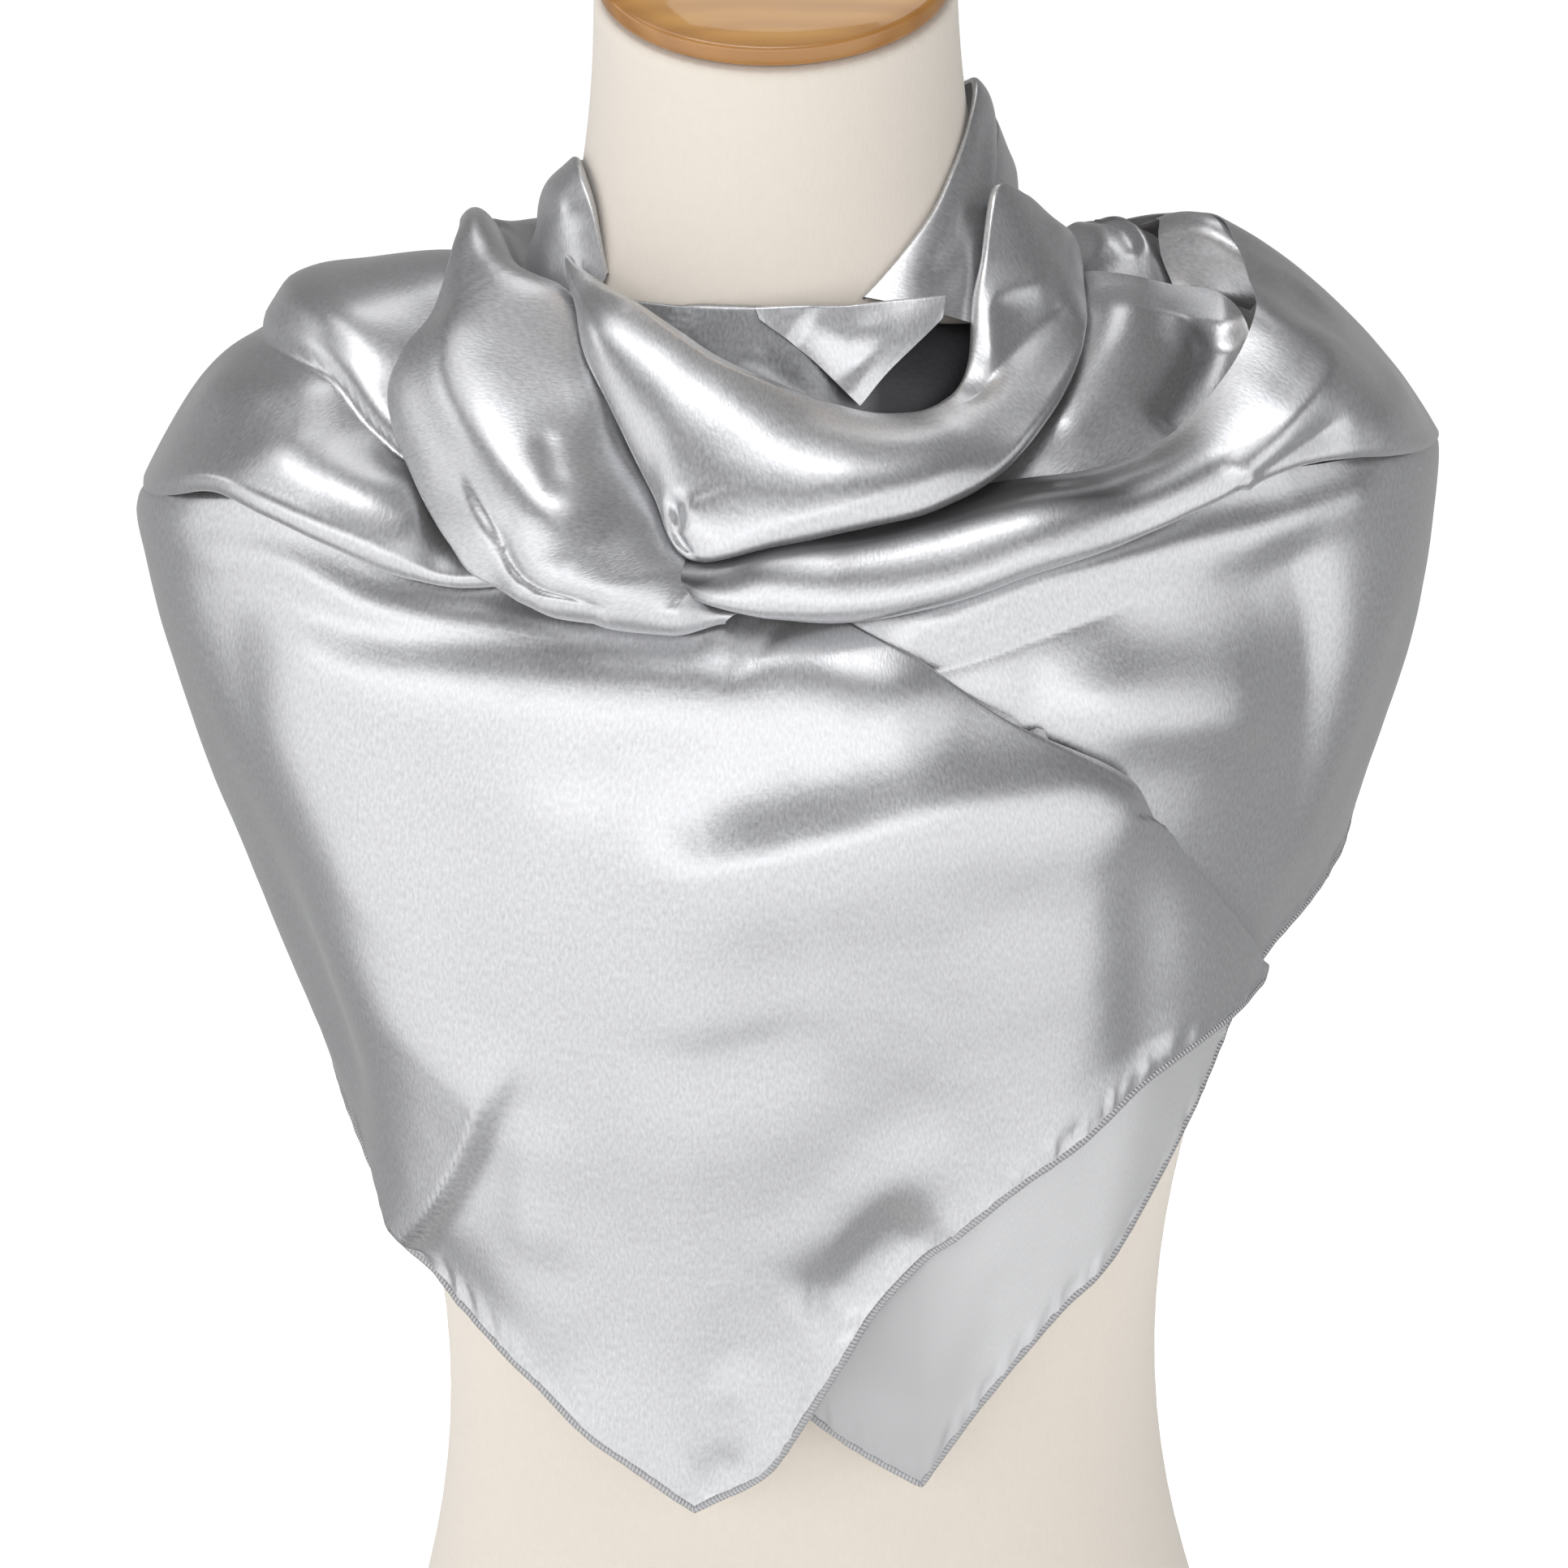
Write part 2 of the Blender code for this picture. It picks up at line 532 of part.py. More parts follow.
def make_cap(material):
    """The turned wooden cap, seated on the slanted end of the neck."""
    profile = cap_profile()
    top = dict(zip(FORM_COLUMNS, FORM_RINGS[-1]))
    slant = math.atan2(top["rise"], top["half_depth"])
    centre_y = top["centre"] * MM
    centre_z = top["height"] * MM
    points = []
    for radius, level in profile:
        lift = level + SEAM_GAP
        for segment in range(CAP_SEGMENTS):
            turn = 2 * math.pi * segment / CAP_SEGMENTS
            x = radius * math.sin(turn)
            y = -radius * math.cos(turn)
            points.append((x, centre_y + y * math.cos(slant) - lift * math.sin(slant),
                           centre_z + y * math.sin(slant) + lift * math.cos(slant)))
    faces = [tuple(range(CAP_SEGMENTS - 1, -1, -1))]
    for level in range(len(profile) - 1):
        base = level * CAP_SEGMENTS
        for segment in range(CAP_SEGMENTS):
            after = (segment + 1) % CAP_SEGMENTS
            faces.append((base + segment, base + after,
                          base + CAP_SEGMENTS + after, base + CAP_SEGMENTS + segment))
    crown = len(points)
    lift = CAP_RIM + CAP_DOME + SEAM_GAP
    points.append((0.0, centre_y - lift * math.sin(slant), centre_z + lift * math.cos(slant)))
    base = (len(profile) - 1) * CAP_SEGMENTS
    for segment in range(CAP_SEGMENTS):
        faces.append((base + segment, base + (segment + 1) % CAP_SEGMENTS, crown))
    mesh = bpy.data.meshes.new("form_neck_cap")
    mesh.from_pydata(points, [], faces)
    mesh.shade_smooth()
    mesh.set_sharp_from_angle(angle=SHARP_FORM_EDGE)
    return add_object("form_neck_cap", mesh, material)


def build():
    clear_scene()
    linen = make_material("ivory_cover", (0.82, 0.79, 0.73), 0.85, 0.0)
    wood = make_material("varnished_wood", (0.66, 0.40, 0.15), 0.25, 0.0)
    satin = make_material("silver_satin", (0.56, 0.57, 0.58), 0.35, 0.8)
    wrong_side = make_material("satin_wrong_side", (0.62, 0.62, 0.63), 0.5, 0.5)
    make_torso(linen)
    make_cap(wood)
    for name, shape in STRETCHES.items():
        finish = wrong_side if name == "scarf_under_panel" else satin
        make_stretch(name, shape, finish)


build()
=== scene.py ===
import math

import bpy
import numpy as np
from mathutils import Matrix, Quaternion, Vector, noise


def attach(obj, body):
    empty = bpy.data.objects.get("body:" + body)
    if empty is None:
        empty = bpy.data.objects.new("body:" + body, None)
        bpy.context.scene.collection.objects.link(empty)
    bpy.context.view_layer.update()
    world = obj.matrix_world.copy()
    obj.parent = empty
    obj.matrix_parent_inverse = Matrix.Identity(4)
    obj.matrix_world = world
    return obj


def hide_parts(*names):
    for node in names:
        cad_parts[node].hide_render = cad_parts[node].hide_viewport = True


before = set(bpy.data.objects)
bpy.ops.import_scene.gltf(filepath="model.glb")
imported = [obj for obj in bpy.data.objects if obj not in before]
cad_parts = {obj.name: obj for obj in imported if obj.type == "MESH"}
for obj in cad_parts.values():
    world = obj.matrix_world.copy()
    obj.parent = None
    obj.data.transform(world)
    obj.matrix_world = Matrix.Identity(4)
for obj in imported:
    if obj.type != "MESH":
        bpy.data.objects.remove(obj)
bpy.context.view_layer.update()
mm = 0.001
print("frame loaded:", len(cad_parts), "nodes")


# camera, floor and light, in m
view = {
    "target": (-0.0023, -0.030, 0.403),
    "distance": 2.2,
    "elevation": 14.0,  # degrees above the horizon
    "roll": -1.15,  # degrees, the form leans a little in the view
    "fieldOfView": 13.02,
}

studio = {
    "floorRadius": 9.0,
    "floorSides": 96,
    "floorColour": (0.93, 0.93, 0.92),
    "floorSpeck": (0.94, 0.94, 0.935),
    "floorGlow": 0.75,
    "worldSeen": (1.0, 1.0, 0.995),
    "strength": 1.5,
    # brightness of the room by height of the direction, from straight down (0) to straight up (1)
    "front": [(0.0, 0.28), (0.05, 0.38), (0.11, 0.78), (0.18, 0.92), (0.26, 0.97), (0.62, 0.99),
              (0.70, 0.88), (0.745, 0.24), (0.78, 0.08), (0.86, 0.08), (0.91, 0.15), (0.95, 0.20),
              (1.0, 0.24)],
    "sides": [(0.0, 0.20), (0.5, 0.24), (0.62, 0.18), (0.72, 0.10), (0.86, 0.10), (0.91, 0.15),
              (0.95, 0.20), (1.0, 0.23)],
    "brightSide": -12.0,  # bearing of the middle of the bright part (degrees)
    "brightFrom": -0.14,  # cosine from that bearing at which it starts
    "brightTo": 0.42,
}

# power in watts
lampColumns = ("name", "place", "aim", "width", "height", "power")
lamps = [
    ("keyLamp", (-0.65, -0.7, 2.9), (0, -0.05, 0.45), 3.2, 1.5, 19),
    ("stripLamp", (-0.4, -0.75, 2.6), (0, -0.05, 0.55), 1.3, 0.08, 6.5),
    ("frontLamp", (-0.9, -2.4, 1.0), (0, 0, 0.4), 4.2, 0.8, 9.0),
    ("leftLamp", (-2.3, 0.4, 1.7), (0, 0, 0.45), 1.1, 0.6, 4),
    ("backLamp", (0.2, 1.4, 2.8), (0, 0, 0.42), 1.0, 1.0, 5.5),
]


def makeCamera():
    data = bpy.data.cameras.new("camera")
    data.angle = math.radians(view["fieldOfView"])
    camera = bpy.data.objects.new("camera", data)
    bpy.context.collection.objects.link(camera)
    up = math.radians(view["elevation"])
    target = Vector(view["target"])
    camera.location = target + view["distance"] * Vector((0, -math.cos(up), math.sin(up)))
    aim = (target - camera.location).to_track_quat("-Z", "Y")
    camera.rotation_mode = "QUATERNION"
    camera.rotation_quaternion = aim @ Quaternion((0, 0, 1), math.radians(view["roll"]))
    bpy.context.scene.camera = camera


def makeLamps():
    for row in lamps:
        lamp = dict(zip(lampColumns, row))
        data = bpy.data.lights.new(lamp["name"], "AREA")
        data.shape = "RECTANGLE"
        data.size = lamp["width"]
        data.size_y = lamp["height"]
        data.energy = lamp["power"]
        made = bpy.data.objects.new(lamp["name"], data)
        bpy.context.collection.objects.link(made)
        made.location = lamp["place"]
        made.rotation_mode = "QUATERNION"
        made.rotation_quaternion = (Vector(lamp["aim"]) - made.location).to_track_quat("-Z", "Y")


def makeFloor():
    clearSelection()
    bpy.ops.mesh.primitive_circle_add(vertices=studio["floorSides"], radius=studio["floorRadius"],
                                      fill_type="NGON")
    floor = bpy.context.object
    floor.name = "floor"
    floor.data.materials.append(finishes["floor"])
    floor.visible_glossy = False


def makeWorld():
    world = bpy.data.worlds.new("studio")
    bpy.context.scene.world = world
    world.use_nodes = True
    room = NodeMaker(world.node_tree)
    x, y, z = room.node("SeparateXYZ", outs=3, Vector=room.node("TexCoord"))
    height = z * 0.5 + 0.5
    side = math.radians(studio["brightSide"])
    bearing = (x * math.sin(side) - y * math.cos(side)) / ((x * x + y * y + 0.0001) ** 0.5)
    front = room.node("MapRange", settings={"interpolation_type": "SMOOTHSTEP"}, Value=bearing,
                      From_Min=studio["brightFrom"], From_Max=studio["brightTo"])
    ahead = room.node("ValToRGB", settings={"stops": greys(studio["front"])}, Fac=height)
    aside = room.node("ValToRGB", settings={"stops": greys(studio["sides"])}, Fac=height)
    light = room.node("Background", Color=room.mixColour(front, aside, ahead), Strength=studio["strength"])
    seen = room.node("Background", Color=studio["worldSeen"])
    mix = room.node("MixShader", Fac=room.node("LightPath"), s1=light, s2=seen)
    room.tree.links.new(mix.socket, room.tree.nodes["World Output"].inputs["Surface"])


def greys(stops):
    return [(place, (bright, bright, bright)) for place, bright in stops]


# shader maths: a socket that can be used in plain arithmetic
class Value:
    def __init__(self, tree, socket):
        self.tree = tree
        self.socket = socket

    def math(self, operation, *others):
        made = self.tree.nodes.new("ShaderNodeMath")
        made.operation = operation
        for place, item in enumerate((self,) + others):
            setInput(self.tree, made.inputs[place], item)
        return Value(self.tree, made.outputs[0])

    def __add__(self, other):
        return self.math("ADD", other)

    def __radd__(self, other):
        return self + other

    def __sub__(self, other):
        return self.math("SUBTRACT", other)

    def __rsub__(self, other):
        return (self * -1) + other

    def __mul__(self, other):
        return self.math("MULTIPLY", other)

    def __rmul__(self, other):
        return self * other

    def __truediv__(self, other):
        return self.math("DIVIDE", other)

    def __pow__(self, other):
        return self.math("POWER", other)


def setInput(tree, socket, item):
    if isinstance(item, Value):
        tree.links.new(item.socket, socket)
    elif isinstance(item, tuple) and len(item) == 3 and socket.type == "RGBA":
        socket.default_value = (*item, 1)
    else:
        socket.default_value = item


# adds nodes to a tree, their settings first and then the values or links of their sockets
class NodeMaker:
    def __init__(self, tree):
        self.tree = tree

    def node(self, kind, out=0, outs=1, settings=None, **inputs):
        made = self.tree.nodes.new("ShaderNode" + kind)
        for key, item in (settings or {}).items():
            if key == "stops":
                ramp = made.color_ramp
                while len(ramp.elements) < len(item):
                    ramp.elements.new(0.5)
                for element, (place, colour) in zip(ramp.elements, item):
                    element.position = place
                    element.color = (*colour, 1)
            else:
                setattr(made, key, item)
        for key, item in inputs.items():
            socket = made.inputs[int(key[1:])] if key[1:].isdigit() else made.inputs[key.replace("_", " ")]
            setInput(self.tree, socket, item)
        if outs > 1:
            return [Value(self.tree, made.outputs[index]) for index in range(outs)]
        return Value(self.tree, made.outputs[out])

    def coordinates(self, kind, scale=(1, 1, 1)):
        start = self.node("TexCoord", out={"UV": 2, "Object": 3}[kind])
        return self.node("Mapping", Vector=start, Scale=scale)

    def noise(self, place, scale, detail=2.0, roughness=0.5):
        return self.node("TexNoise", Vector=place, Scale=scale, Detail=detail, Roughness=roughness)

    def mixColour(self, share, first, second):
        return self.node("Mix", out=2, settings={"data_type": "RGBA"}, s0=share, s6=first, s7=second)


# a material and the nodes added to it
class Finish(NodeMaker):
    def __init__(self, name, **constants):
        self.material = bpy.data.materials.new(name)
        self.material.use_nodes = True
        super().__init__(self.material.node_tree)
        self.shader = self.tree.nodes["Principled BSDF"]
        self.feed(**constants)

    def feed(self, **sockets):
        for socket, item in sockets.items():
            setInput(self.tree, self.shader.inputs[socket.replace("_", " ")], item)

    def bump(self, height, distance):
        self.feed(Normal=self.node("Bump", Height=height, Distance=distance, Strength=1.0))


# Cloth is worked out from sections. A section is given by its upper and lower edge: how far round
# the neck from the front (degrees, towards +X), how far out from the middle and how high (mm). It
# swells out and up between them.
sectionColumns = ("topTurn", "topReach", "topHeight", "lowTurn", "lowReach", "lowHeight",
                  "swellOut", "swellUp", "topRoll", "lowRoll")

# A fold runs through points (turn or row, share of the way down); it rises (+) or sinks (-) by mm and
# dies out within left and right mm of its path and within a share of its length at both ends. What
# a fold's row leaves out comes from foldDefaults, and what a section's row leaves out is 0.
foldColumns = ("path", "rise", "left", "right", "fadeIn", "fadeOut", "power")
foldDefaults = {"fadeIn": 0.3, "fadeOut": 0.3, "power": 2}

cloth = {
    "thickness": 0.5,  # mm
    "rollSteps": 8,
    "waver": 0.5,  # mm, unevenness all over
    "waverSize": 34.0,
    "crest": 0.5,  # share of the way down at which a section swells most
    "pathSteps": 6,
    "sharpAngle": 60,
}


def unit(vectors):
    lengths = np.linalg.norm(vectors, axis=-1, keepdims=True)
    return vectors / np.maximum(lengths, 1e-9)


def curveThrough(rows, steps, corners=()):
    values = np.array(rows, dtype=float)
    breaks = [0, *corners, len(values) - 1]
    out = [values[0]]
    for first, last in zip(breaks[:-1], breaks[1:]):
        piece = values[first:last + 1]
        padded = np.vstack([2 * piece[0] - piece[1], piece, 2 * piece[-1] - piece[-2]])
        for index in range(1, len(padded) - 2):
            p0, p1, p2, p3 = padded[index - 1:index + 3]
            for step in range(1, steps + 1):
                t = step / steps
                out.append((2 * p1 + (p2 - p0) * t + (2 * p0 - 5 * p1 + 4 * p2 - p3) * t ** 2
                            + (3 * p1 - p0 - 3 * p2 + p3) * t ** 3) / 2)
    return np.array(out)


def runAlong(points):
    return np.concatenate([[0], np.cumsum(np.linalg.norm(np.diff(points, axis=0), axis=1))])


def gridNormals(points):
    return unit(np.cross(np.gradient(points, axis=1), np.gradient(points, axis=0)))


def rolledRim(edge, outward, inward, radius, arc):
    rim = []
    for step in range(1, cloth["rollSteps"] + 1):
        angle = math.radians(arc) * step / cloth["rollSteps"]
        rim.append(edge + radius * (inward * (1 - math.cos(angle)) + outward * math.sin(angle)))
    return rim


# one stretch of cloth as a grid: first index along it, second from upper to lower edge
class Stretch:
    def __init__(self, shape):
        self.shape = shape
        sections = curveThrough(shape["rows"], shape["along"], shape.get("corners", ()))
        sections = np.pad(sections, ((0, 0), (0, len(sectionColumns) - sections.shape[1])))
        column = {name: sections[:, i:i + 1] for i, name in enumerate(sectionColumns)}
        across = shape["across"]
        crest = shape.get("crest", cloth["crest"])
        turnSpan = np.radians(column["lowTurn"] - column["topTurn"])
        reachSpan = column["lowReach"] - column["topReach"]
        drop = column["lowHeight"] - column["topHeight"]
        sweep = turnSpan * (column["topReach"] + column["lowReach"]) / 2
        length = np.sqrt(sweep ** 2 + reachSpan ** 2 + drop ** 2)
        start = column["topRoll"] / length
        end = 1 - column["lowRoll"] / length
        t = start + (end - start) * np.linspace(0, 1, across + 1)[None, :]
        power = (1 - crest) / crest
        bow = t * (1 - t) ** power / (crest * (1 - crest) ** power)
        turn = np.radians(column["topTurn"]) + turnSpan * t
        reach = column["topReach"] + reachSpan * t + column["swellOut"] * bow
        height = column["topHeight"] + drop * t + column["swellUp"] * bow
        self.face = np.stack([reach * np.sin(turn), -reach * np.cos(turn), height], axis=-1)
        self.turn = np.degrees(turn)
        inward = -gridNormals(self.face)
        columns = [self.face[:, j] for j in range(across + 1)]
        if shape.get("topArc"):
            outward = unit(self.face[:, 0] - self.face[:, 1])
            rim = rolledRim(self.face[:, 0], outward, inward[:, 0], column["topRoll"], shape["topArc"])
            columns = rim[::-1] + columns
        if shape.get("lowArc"):
            outward = unit(self.face[:, -1] - self.face[:, -2])
            columns += rolledRim(self.face[:, -1], outward, inward[:, -1], column["lowRoll"],
                                 shape["lowArc"])
        self.points = np.stack(columns, axis=1)
        self.outward = gridNormals(self.points)

    # points on the cloth for a fold's path of (turn or row, share) pairs
    def place(self, path):
        found = []
        for key, share in path:
            position = share * self.shape["across"]
            j = min(int(position), self.shape["across"] - 1)
            f = position - j
            line = self.face[:, j] * (1 - f) + self.face[:, j + 1] * f
            if self.shape.get("byRow"):
                i = key * self.shape["along"]
            else:
                turns = self.turn[:, j] * (1 - f) + self.turn[:, j + 1] * f
                i = np.interp(key, turns, np.arange(len(turns)))
            k = min(int(i), len(line) - 2)
            found.append(line[k] * (1 - i + k) + line[k + 1] * (i - k))
        return np.array(found)

    # how far one fold moves each point of the cloth
    def relief(self, row):
        fold = {**foldDefaults, **dict(zip(foldColumns, row))}
        line = self.place(curveThrough(fold["path"], cloth["pathSteps"]))
        steps = runAlong(line)
        points = self.points.reshape(-1, 3)
        outward = self.outward.reshape(-1, 3)
        best = np.full(len(points), 1e9)
        side = np.zeros(len(points))
        along = np.zeros(len(points))
        for k in range(len(line) - 1):
            span = line[k + 1] - line[k]
            share = np.clip((points - line[k]) @ span / max(span @ span, 1e-9), 0, 1)
            away = points - line[k] - share[:, None] * span
            distance = np.linalg.norm(away, axis=1)
            nearer = distance < best
            best[nearer] = distance[nearer]
            side[nearer] = np.sum(np.cross(span, outward[nearer]) * away[nearer], axis=1)
            along[nearer] = (steps[k] + share[nearer] * np.linalg.norm(span)) / steps[-1]
        width = np.where(side > 0, fold["right"], fold["left"])
        fade = np.ones(len(points))
        for end, reach in ((along, fold["fadeIn"]), (1 - along, fold["fadeOut"])):
            if reach:
                s = np.clip(end / reach, 0, 1)
                fade *= s * s * (3 - 2 * s)
        height = fold["rise"] * fade * np.exp(-(best / width) ** fold["power"])
        return height.reshape(self.points.shape[:2])

    def waver(self):
        height = np.zeros(self.points.shape[:2])
        for finer, fainter in ((1, 1), (3, 4)):
            size, depth = cloth["waverSize"] / finer, cloth["waver"] / fainter
            for i in range(height.shape[0]):
                for j in range(height.shape[1]):
                    height[i, j] += depth * noise.noise(Vector(self.points[i, j] / size))
        return height

    # small gathers that the hem's stitches draw into the cloth beside the lower edge
    def puckers(self, hem):
        run = runAlong(self.points[:, -1])
        across = np.linalg.norm(np.diff(self.points, axis=1), axis=2)
        fromEdge = np.cumsum(across[:, ::-1], axis=1)[:, ::-1]
        fromEdge = np.concatenate([fromEdge, np.zeros((len(run), 1))], axis=1)
        height = np.zeros(self.points.shape[:2])
        fadedOut = hem["pucker"] * 4
        for i, j in np.argwhere(fromEdge < fadedOut):
            away = fromEdge[i, j]
            pull = noise.noise(Vector((run[i] / hem["pitch"], away / hem["stretch"], hem["seed"])))
            height[i, j] = hem["depth"] * pull * math.exp(-((away - hem["inset"]) / hem["pucker"]) ** 2)
        return height

    def finishShape(self):
        height = self.waver()
        for row in self.shape["folds"]:
            height += self.relief(row)
        if "hem" in self.shape:
            height += self.puckers(self.shape["hem"])
        self.points = self.points + self.outward * height[:, :, None]
        self.outward = gridNormals(self.points)


def wallMesh(name, outer, inner):
    rows, columns = outer.shape[:2]
    count = rows * columns
    points = np.concatenate([outer.reshape(-1, 3), inner.reshape(-1, 3)]) * mm
    i, j = np.meshgrid(np.arange(rows - 1), np.arange(columns - 1), indexing="ij")
    a = (i * columns + j).ravel()
    quads = np.stack([a, a + 1, a + columns + 1, a + columns], axis=1)
    back = quads[:, ::-1] + count
    rim = [k * columns for k in range(rows)]
    rim += [(rows - 1) * columns + k for k in range(1, columns)]
    rim += [k * columns + columns - 1 for k in range(rows - 2, -1, -1)]
    rim += list(range(columns - 2, 0, -1))
    rim = np.array(rim)
    after = np.roll(rim, -1)
    band = np.stack([rim, after, after + count, rim + count], axis=1)
    mesh = bpy.data.meshes.new(name)
    mesh.from_pydata(points.tolist(), [], np.concatenate([quads, back, band]).tolist())
    along = np.linalg.norm(np.diff(outer, axis=0), axis=2).mean(axis=1)
    u = np.concatenate([[0], np.cumsum(along)])[:, None] * np.ones((1, columns))
    v = np.linalg.norm(np.diff(outer, axis=1), axis=2)
    v = np.concatenate([np.zeros((rows, 1)), np.cumsum(v, axis=1)], axis=1)
    flat = np.stack([u.ravel(), v.ravel()], axis=1) * mm
    flat = np.concatenate([flat, flat])
    corners = np.empty(len(mesh.loops), dtype=np.int32)
    mesh.loops.foreach_get("vertex_index", corners)
    layer = mesh.uv_layers.new(name="cloth")
    layer.data.foreach_set("uv", flat[corners].astype(np.float32).ravel())
    mesh.shade_smooth()
    mesh.set_sharp_from_angle(angle=math.radians(cloth["sharpAngle"]))
    return mesh


def addPiece(name, mesh, finish):
    mesh.materials.append(finish)
    piece = bpy.data.objects.new(name, mesh)
    bpy.context.collection.objects.link(piece)
    return piece


# a narrow rolled hem along the lower edge, as a flattened tube
def makeHem(name, stretch, hem, finish):
    edge = stretch.points[:, -1]
    along = unit(np.gradient(edge, axis=0))
    outward = stretch.outward[:, -1]
    aside = unit(np.cross(along, outward))
    run = runAlong(edge)
    around = hem["around"]
    rings = []
    for k in range(len(edge)):
        swell = 1 + hem["uneven"] * noise.noise(Vector((run[k] / hem["unevenPitch"], 0.4, 0)))
        fromEnd = min(run[k], run[-1] - run[k])
        taper = min(1, fromEnd / hem["taper"] + hem["tip"])
        centre = edge[k] - outward[k] * cloth["thickness"] / 2
        for step in range(around):
            angle = 2 * math.pi * step / around
            rings.append(centre + swell * taper * (aside[k] * hem["width"] / 2 * math.cos(angle)
                                                   + outward[k] * hem["height"] / 2 * math.sin(angle)))
    faces = []
    flat = []
    for k in range(len(edge) - 1):
        for step in range(around):
            a = k * around + step
            b = k * around + (step + 1) % around
            faces.append((a, a + around, b + around, b))
            flat += [(run[k] * mm, step / around), (run[k + 1] * mm, step / around),
                     (run[k + 1] * mm, (step + 1) / around), (run[k] * mm, (step + 1) / around)]
    faces.append(tuple(range(around)))
    faces.append(tuple(range(len(rings) - 1, len(rings) - around - 1, -1)))
    flat += [(0, 0)] * (2 * around)
    mesh = bpy.data.meshes.new(name)
    mesh.from_pydata((np.array(rings) * mm).tolist(), [], faces)
    layer = mesh.uv_layers.new(name="cloth")
    layer.data.foreach_set("uv", np.array(flat, dtype=np.float32).ravel())
    mesh.shade_smooth()
    return addPiece(name, mesh, finish)


def makeStretch(part, shape, finish="satin"):
    name, node = "satin_" + part, "scarf_" + part
    stretch = Stretch(shape)
    stretch.finishShape()
    inner = stretch.points - stretch.outward * cloth["thickness"]
    piece = addPiece(name, wallMesh(name, stretch.points, inner), finishes[finish])
    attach(piece, "root")
    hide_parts(node)
    if "hem" in shape:
        hem = makeHem(name + "_hem", stretch, shape["hem"], finishes["hem"])
        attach(hem, "root")
    print("made", name, len(piece.data.polygons), "faces")


# finishes; lengths in m
satin = {
    "colour": (0.65, 0.655, 0.67),
    "dark": (0.43, 0.43, 0.445),
    "metallic": 0.82,
    "roughness": 0.33,
    "grain": 1000.0,  # grains per metre
    "grainDepth": 0.00007,
    "contrast": 1.9,
    "cloud": 28,  # slow changes of tone
    "slub": 900,  # thicker threads
    "threads": (1, 0.45, 1),  # how the grain and the slubs are drawn out
    "slubs": (0.06, 1, 1),
    "grainGloss": 0.12,
    "cloudGloss": 0.06,
    "sheen": 0.15,
}

# inside the cowl the satin is a darker copy, as painted shade, and a painted shadow darkens it further
# towards +X, down into its hollow
innerSatin = {
    **satin,
    "colour": (0.42, 0.425, 0.435),
    "dark": (0.27, 0.27, 0.28),
    # colour of the painted shadow down in the hollow
    "deep": (0.05, 0.05, 0.055),
    "deepFrom": 0.006,  # towards +X
    "deepTo": 0.030,
}

# painted shadow: the roll darkens near its upper edge, where it goes in under the cowl
rollSatin = {
    **satin,
    "tucked": (0.13, 0.13, 0.135),
    "tuckedFrom": 0.017,  # down from its upper edge
    "tuckedTo": 0.024,
    "tuckFade": 0.13,  # along it
    "tuckEnd": 0.19,
}

wrongSide = {
    **satin,
    "colour": (0.62, 0.625, 0.635),
    "dark": (0.54, 0.54, 0.55),
    "metallic": 0.45,
    "roughness": 0.52,
    "grain": 1300.0,
    "grainDepth": 0.00004,
    # colour of the painted shade beside the front panel's hem
    "deep": (0.44, 0.44, 0.45),
    "deepFrom": 0.062,  # towards +X; painted shade: it darkens back towards the middle, beside the front panel's hem
    "deepTo": 0.036,
}

hemThread = {
    "colour": (0.56, 0.56, 0.575),
    "dark": (0.30, 0.30, 0.31),
    "pitch": 0.0013,  # between stitches
    "depth": 0.0003,
    "uneven": 700,
    "metallic": 0.45,
    "roughness": 0.42,
}

cover = {
    "colour": (0.73, 0.67, 0.60),
    "shade": (0.65, 0.592, 0.524),
    "knit": 900.0,  # loops per metre
    "fuzz": 240.0,
    "cloud": 14,
    "depth": 0.00025,
    "roughness": 0.92,
    "sheen": 0.25,
}

wood = {
    "light": (0.60, 0.32, 0.075),
    "dark": (0.36, 0.155, 0.03),
    "rim": (0.24, 0.085, 0.018),
    "rimFrom": 0.0505,  # from the cap's middle
    "rimTo": 0.0555,
    "middle": (0, -0.016, 0.6616),
    "rimShare": 0.5,
    "grain": 26.0,
    "distortion": 6.0,
    "warp": 9,
    "fine": 60,
    "depth": 0.00004,
    "roughness": 0.34,
    "coat": 0.6,
    "coatRoughness": 0.05,
}


